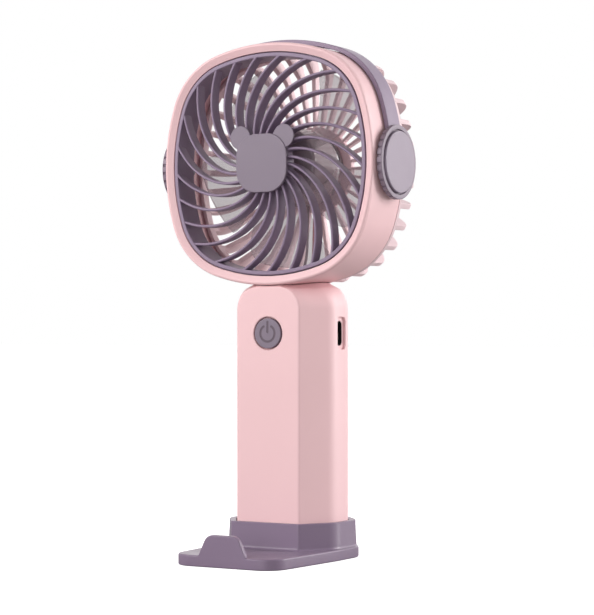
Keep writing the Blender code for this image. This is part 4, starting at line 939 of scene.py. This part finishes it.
def port_cutters():
    """The port's recess with cut corners, and the slot in its floor, both with chamfered mouths."""
    across, tall, corner = 3.05 * MM, 6.2 * MM, 1.6 * MM
    low_corner = 0.6 * corner
    points = []
    for sx, sy in QUADRANTS:
        near = (sx * across, sy * (tall - corner), 0.15 * MM)
        far = (sx * (across - low_corner), sy * tall, 0.15 * MM)
        points.extend((near, far) if sx * sy > 0 else (far, near))
    wall, floor = HANDLE_HALF, PORT_FLOOR_X
    recess_levels = [(0.0, floor), (0.0, wall - 0.25 * MM), (-MM, wall + 0.75 * MM)]
    slot_levels = [(0.0, floor - 4 * MM), (0.0, floor - 0.2 * MM), (-0.3 * MM, floor + 0.1 * MM)]
    return (plate("port_recess", rounded(points, 3), recess_levels, PORT_PLACE),
            plate("port_slot", port_outline(), slot_levels, PORT_PLACE))


def make_handle():
    far = 130 * MM
    wide = 60 * MM
    front = handle_body("handle_shell_fine")
    carve(front, cut_box("behind_split", (-wide, SPLIT_Y - SEAM / 2, -wide), (wide, wide, far)),
          button_hole(), *port_cutters())
    settle(front, "fan", "pink_plastic", "handle_shell")
    back = handle_body("handle_back_fine")
    sink, seat_y, chamfer = 2.5 * MM, 15.8 * MM, 0.2 * MM
    profile = [(sink, seat_y), (sink, HANDLE_DEPTH - chamfer),
               (sink + 0.8 * MM, HANDLE_DEPTH - chamfer + 0.8 * MM)]
    sinks = []
    for name in HANDLE_SCREWS:
        low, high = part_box(name)
        middle = (low + high) / 2
        sinks.append(turned("handle_sink", forward(profile),
                            Matrix.Translation((middle.x, 0.0, middle.z)) @ FACING_FRONT, steps=40))
    carve(back, cut_box("ahead_of_split", (-wide, -wide, -wide), (wide, SPLIT_Y + SEAM / 2, far)),
          *sinks)
    settle(back, "fan", "pink_plastic", "handle_back")


def make_usb_socket():
    """The port's metal sleeve and the contact tongue, and a near-black sheet of painted shade over
    the sleeve's inside and the slot's walls.
    """
    half = (SOCKET_HIGH.y - SOCKET_LOW.y) / 2
    tall = (SOCKET_HIGH.z - SOCKET_LOW.z) / 2
    rear, face = SOCKET_LOW.x, SOCKET_HIGH.x
    wall, edge = 0.28 * MM, 0.08 * MM
    bm = bmesh.new()
    outer = rounded_rectangle(half, tall, half - edge, 8)
    mouth = rounded_rectangle(half - wall, tall - wall, half - wall - edge, 8)
    levels = [(outer, rear), (outer, face - edge), (inset(outer, edge), face),
              (inset(mouth, -0.06 * MM), face), (mouth, face - edge), (mouth, rear)]
    skin(bm, [lifted(outline, height, PORT_PLACE) for outline, height in levels], closed=True)
    piece("usb_sleeve", bm, STEEL, "fan", "steel", "usb_socket")
    # Painted shade: the sheet below is near-black and lines the metal sleeve and the slot's pink
    # walls, darkening the port's inside. Only the tongue is really black plastic.
    bm = bmesh.new()
    slot = port_outline()
    lip = PORT_FLOOR_X - 0.12 * MM
    shade_sheet = [(mouth, 0.02, rear + 0.3 * MM), (mouth, 0.02, face + 0.02 * MM),
              (slot, 0.04, face + 0.03 * MM), (slot, 0.04, lip), (slot, 0.2, lip),
              (mouth, 0.15, face - 3.2 * MM)]
    skin(bm, [lifted(inset(outline, gap * MM), height, PORT_PLACE)
              for outline, gap, height in shade_sheet])
    slab(bm, rounded_rectangle(0.35 * MM, 3.3 * MM, 0.2 * MM, 4),
         edge_levels(face - 3.4 * MM, face - 0.9 * MM, 0.1 * MM), PORT_PLACE)
    piece("usb_tongue_and_painted_shade", bm, TONGUE_BLACK_AND_PAINTED_SHADE, "fan", "black_plastic")


def make_screw(node_name):
    """A pan head screw that faces the back, with a cross recess."""
    low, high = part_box(node_name)
    middle = (low + high) / 2
    head = (high.x - low.x) / 2
    tip, face = low.y, high.y
    shaft, under, edge = 1.2 * MM, face - 0.95 * MM, 0.12 * MM
    profile = [(0.9 * MM, tip), (shaft, tip + 0.6 * MM), (shaft, under), (head, under),
               (head, face - 0.35 * MM), (head - edge, face - edge), (head - 0.4 * MM, face)]
    place = Matrix.Translation((middle.x, 0.0, middle.z)) @ FACING_BACK
    screw = turned(node_name + "_fine", profile, place, STEEL, steps=40)
    long_half, short_half = 1.25 * MM, 0.28 * MM
    carve(screw, *[cut_box("recess", (middle.x - across, face - 0.6 * MM, middle.z - tall),
                           (middle.x + across, face + MM, middle.z + tall))
                   for across, tall in ((long_half, short_half), (short_half, long_half))])
    settle(screw, "fan", "steel", node_name)


# ---- button

def ring_arc(radius, stroke, gap_angle, steps=44):
    """A thin arc with round ends, open at the top by gap_angle to each side."""
    first = math.pi / 2 + gap_angle
    last = math.pi / 2 + 2 * math.pi - gap_angle
    half = stroke / 2
    outer, inner = [], []
    for step in range(steps + 1):
        angle = first + (last - first) * step / steps
        direction = Vector((math.cos(angle), math.sin(angle)))
        outer.append(direction * (radius + half))
        inner.append(direction * (radius - half))

    def cap(angle, start):
        centre = Vector((math.cos(angle), math.sin(angle))) * radius
        return [centre + Vector((math.cos(start + turn), math.sin(start + turn))) * half
                for turn in [math.pi * step / 6 for step in range(1, 6)]]

    return outer + cap(last, last) + list(reversed(inner)) + cap(first, first + math.pi)


def sign_outlines():
    """The generic on-off sign: an open ring and an upright bar."""
    ring = ring_arc(3.15 * MM, 0.85 * MM, math.radians(32.0))
    upright = rounded_rectangle(0.42 * MM, 2.4 * MM, 0.4 * MM, 5)
    bar = [point + Vector((0.0, 2.5 * MM)) for point in upright]
    return {"ring": ring, "bar": bar}


def make_power_button():
    """A round cap with a soft edge and the sign sunk into its face, plus the foot behind."""
    foot = -HANDLE_DEPTH + 2.2 * MM
    foot_rear = foot + BUTTON_FOOT_THICK
    profile = soft_cup(BUTTON_RADIUS, BUTTON_FACE_Y, 0.35 * MM, 5) + [
        (BUTTON_RADIUS, foot), (BUTTON_FOOT_RADIUS, foot), (BUTTON_FOOT_RADIUS, foot_rear),
        (PLUNGER_RADIUS, foot_rear), (PLUNGER_RADIUS, BUTTON_HIGH.y)]
    cap = turned("power_button_fine", forward(profile), BUTTON_PLACE, BADGE_MAUVE)
    face = -BUTTON_FACE_Y
    sunk, depth = 0.12 * MM, 0.25 * MM
    grooves, inlays = [], []
    for name, outline in sign_outlines().items():
        grooves.append(plate("groove_" + name, outline,
                             [(0.0, face - depth), (0.0, face + 0.5 * MM)], BUTTON_PLACE))
        inlays.append(plate("power_sign_" + name, outline,
                            [(0.0, face - depth - 0.1 * MM), (0.0, face - sunk)],
                            BUTTON_PLACE, DARK_MAUVE))
    carve(cap, *grooves)
    settle(cap, "button", "light_mauve_plastic", "power_button")
    for inlay in inlays:
        settle(inlay, "button", "mauve_plastic")


# ---- phone stand

def stand_outline():
    """The plate's outline: narrow and round in front, wider under the handle's back."""
    wide = HANDLE_HALF + PLATE_MARGIN
    deep = HANDLE_DEPTH + PLATE_BACK_MARGIN
    front = (PLATE_FRONT_HALF, STAND_LOW.y)
    side_front = (wide, PLATE_SIDE_FRONT_Y)
    side_back = (wide, deep - BACK_CHEEK_DEPTH)
    back = (FACET_HALF + PLATE_MARGIN / 2, deep)
    right = [*fillet((0.0, STAND_LOW.y), front, side_front, PLATE_FRONT_CORNER, 16),
             *fillet(front, side_front, side_back, PLATE_SIDE_ROUND, 5),
             *fillet(side_front, side_back, back, PLATE_CHEEK_ROUND, 10),
             *fillet(side_back, back, (0.0, deep), PLATE_BACK_ROUND, 6)]
    return right + [Vector((-point.x, point.y)) for point in reversed(right)]


def collar_ring(height, margin, reach=0.0):
    """A level ring round the handle; reach stretches its front half forward."""
    half = HANDLE_HALF + margin
    facet = FACET_HALF + margin * 0.48
    depth = HANDLE_DEPTH + margin
    ring = []
    for point in handle_section(half, facet, depth):
        forward_share = max(0.0, -point.y / depth)
        ring.append(Vector((point.x, point.y - reach * forward_share, height)))
    return ring


def lip_outline():
    """The lip's outline seen from the front: sloping sides, a broad round top, a coved foot."""
    root = LIP_BASE_HALF + 1.6 * MM
    low, under, over = PLATE_THICK - 1.2 * MM, PLATE_THICK - 0.1 * MM, PLATE_THICK + 0.1 * MM
    cove, crown = 0.7 * MM, 4.0 * MM
    return rounded([
        (-root, low, 0.0), (root, low, 0.0), (root, under, 0.0), (LIP_BASE_HALF, over, cove),
        (LIP_TOP_HALF, LIP_TOP_Z, crown), (-LIP_TOP_HALF, LIP_TOP_Z, crown),
        (-LIP_BASE_HALF, over, cove), (-root, under, 0.0),
    ], 10)


def make_phone_stand():
    bm = bmesh.new()
    slab(bm, stand_outline(), edge_levels(STAND_LOW.z, PLATE_THICK, 0.6 * MM))
    wall = COLLAR_MARGIN
    foot = wall + 0.3 * MM
    sunk = PLATE_THICK - 0.5 * MM
    brim = 0.25 * MM
    outside = [collar_ring(sunk, foot + COVE_SPREAD, COVE_SWEEP)]
    for angle in quarter(8):
        left = 1 - math.sin(angle)
        outside.append(collar_ring(PLATE_THICK - 0.05 * MM + COVE_RISE * (1 - math.cos(angle)),
                                   foot + COVE_SPREAD * left, COVE_SWEEP * left))
    outside += [collar_ring(COLLAR_TOP_Z - brim - 1.5 * MM, wall),
                collar_ring(COLLAR_TOP_Z - brim, wall)]
    over = [collar_ring(COLLAR_TOP_Z - brim * (1 - math.sin(a)), wall - brim * (1 - math.cos(a)))
            for a in quarter(4)[1:]]
    inside = [collar_ring(COLLAR_TOP_Z, SEAM + brim), collar_ring(COLLAR_TOP_Z - brim, SEAM),
              collar_ring(sunk, SEAM)]
    skin(bm, [*outside, *over, *inside], closed=True)
    front = -STAND_LOW.y - 0.02 * MM
    slab(bm, lip_outline(), edge_levels(front - LIP_THICK, front, 0.5 * MM), FACING_FRONT)
    piece("phone_stand_fine", bm, STAND_MAUVE, "stand", "mauve_plastic", "phone_stand")


# ---- carried-over nodes

NODES_BY_MATERIAL = (
    (MAUVE, ("neck_tube",)),
    (BADGE_MAUVE, ("switch_stem",)),
    (BOARD, ("circuit_board",)),
    (WRAP, ("battery_cell",)),
    (BLACK, ("tact_switch", "battery_lead_black", "motor_lead_black")),
    (RED_SLEEVE, ("battery_lead_red", "motor_lead_red")),
    (STEEL, ("neck_clip", "rotor_can", "motor_shaft", "motor_base", "bearing_tube")),
    (DARK_STEEL, ("magnet_ring", "stator_core")),
    (COPPER, ("bearing_front", "bearing_rear", "coil_former")),
)


def dress_nodes():
    """Materials for the CAD nodes that keep their shape."""
    for material, names in NODES_BY_MATERIAL:
        for name in names:
            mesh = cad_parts[name].data
            mesh.materials.clear()
            mesh.materials.append(material)
            shade_smoothly(mesh)


# ---- stage, light and camera

def make_stage():
    """A pale floor that fades into the surround, with only a soft shadow under the fan."""
    bm = bmesh.new()
    bmesh.ops.create_grid(bm, x_segments=8, y_segments=8, size=8.0)
    floor = finish_mesh("floor", bm, None)
    floor.location = (0.0, 0.0, CAD_LOW.z)
    material = bpy.data.materials.new("pale_paper")
    material.use_nodes = True
    tree = material.node_tree
    tree.nodes.clear()
    paper = node(tree, "ShaderNodeBsdfDiffuse")
    looked_at = node(tree, "ShaderNodeLightPath").outputs["Is Camera Ray"]
    tree.links.new(blended(tree, looked_at, (0.38, 0.38, 0.38), (0.7, 0.7, 0.7)),
                   paper.inputs["Color"])
    grain = spread(tree, noise(tree, 240.0, 3.0), 0.84, 0.86)
    glow = node(tree, "ShaderNodeEmission")
    tree.links.new(maths(tree, "MULTIPLY", looked_at, grain), glow.inputs["Strength"])
    both = node(tree, "ShaderNodeAddShader")
    tree.links.new(paper.outputs[0], both.inputs[0])
    tree.links.new(glow.outputs[0], both.inputs[1])
    out = node(tree, "ShaderNodeOutputMaterial")
    tree.links.new(both.outputs[0], out.inputs["Surface"])
    floor.data.materials.append(material)


def make_world(horizon, behind, zenith):
    """A soft pale surround, brighter behind and dimmer overhead, that looks plain white."""
    world = bpy.data.worlds.new("studio")
    bpy.context.scene.world = world
    world.use_nodes = True
    tree = world.node_tree
    tree.nodes.clear()
    axes = node(tree, "ShaderNodeSeparateXYZ")
    place = node(tree, "ShaderNodeTexCoord")
    tree.links.new(place.outputs["Generated"], axes.inputs[0])
    up = maths(tree, "MULTIPLY", axes.outputs[2], axes.outputs[2])
    level = maths(tree, "SUBTRACT", 1.0, up)
    rear = maths(tree, "MULTIPLY", maths(tree, "MAXIMUM", axes.outputs[1], 0.0), behind)
    around = maths(tree, "MULTIPLY", level, maths(tree, "ADD", rear, horizon))
    strength = maths(tree, "ADD", around, maths(tree, "MULTIPLY", up, zenith))
    light = node(tree, "ShaderNodeBackground")
    light.inputs["Color"].default_value = (1.0, 0.985, 0.985, 1.0)
    tree.links.new(strength, light.inputs["Strength"])
    seen = node(tree, "ShaderNodeBackground")
    seen.inputs["Color"].default_value = (1.0, 1.0, 1.0, 1.0)
    mix = node(tree, "ShaderNodeMixShader")
    tree.links.new(node(tree, "ShaderNodeLightPath").outputs["Is Camera Ray"], mix.inputs[0])
    tree.links.new(light.outputs[0], mix.inputs[1])
    tree.links.new(seen.outputs[0], mix.inputs[2])
    out = node(tree, "ShaderNodeOutputWorld")
    tree.links.new(mix.outputs[0], out.inputs["Surface"])


def softbox(name, azimuth, elevation, distance, size, power):
    """An area light on a sphere round the fan, aimed at its middle. Azimuth 0 is the front."""
    a, e = math.radians(azimuth), math.radians(elevation)
    middle = (CAD_LOW + CAD_HIGH) / 2
    out = Vector((math.sin(a) * math.cos(e), -math.cos(a) * math.cos(e), math.sin(e)))
    data = bpy.data.lights.new(name, "AREA")
    data.shape = "RECTANGLE"
    data.size, data.size_y = size
    data.energy = power
    data.color = (1.0, 0.98, 0.97)
    light = placed(name, data)
    light.location = middle + out * distance
    light.rotation_mode = "QUATERNION"
    light.rotation_quaternion = out.to_track_quat("Z", "Y")


def make_lights():
    """Soft studio light: a key from the left, a front fill, and one behind the right side."""
    make_world(0.45, 1.2, 0.10)
    softbox("key", -40.0, 25.0, 1.3, (0.8, 0.8), 11.0)
    softbox("front", 5.0, 5.0, 1.4, (0.8, 0.8), 7.4)
    softbox("side", 130.0, 12.0, 1.2, (0.5, 0.9), 13.2)


def make_camera():
    """The product view: a long lens from the front right, near the handle's middle height."""
    data = bpy.data.cameras.new("camera")
    camera = placed("camera", data)
    azimuth, distance, height = math.radians(30.45), 0.80122, 0.08831
    heading, pitch = math.radians(30.28), math.radians(0.59)
    camera.location = (distance * math.sin(azimuth), -distance * math.cos(azimuth), height)
    look = Vector((-math.sin(heading) * math.cos(pitch), math.cos(heading) * math.cos(pitch),
                   math.sin(pitch)))
    camera.rotation_mode = "QUATERNION"
    camera.rotation_quaternion = (-look).to_track_quat("Z", "Y")
    data.lens = 120.35
    data.clip_start = 0.02
    data.clip_end = 50.0
    bpy.context.scene.camera = camera
    bpy.context.scene.view_settings.view_transform = "Standard"


make_camera()
make_phone_stand()
make_handle()
make_usb_socket()
for screw_name in (*HANDLE_SCREWS, "motor_screw_1", "motor_screw_2"):
    make_screw(screw_name)
make_power_button()
make_front_shell()
make_front_grille()
make_hub_badge()
make_rear_grille()
make_headband()
for side, label in ((1, "right"), (-1, "left")):
    make_side_ring(side, label)
    make_side_cap(side, label)
make_impeller()
dress_nodes()
make_stage()
make_lights()
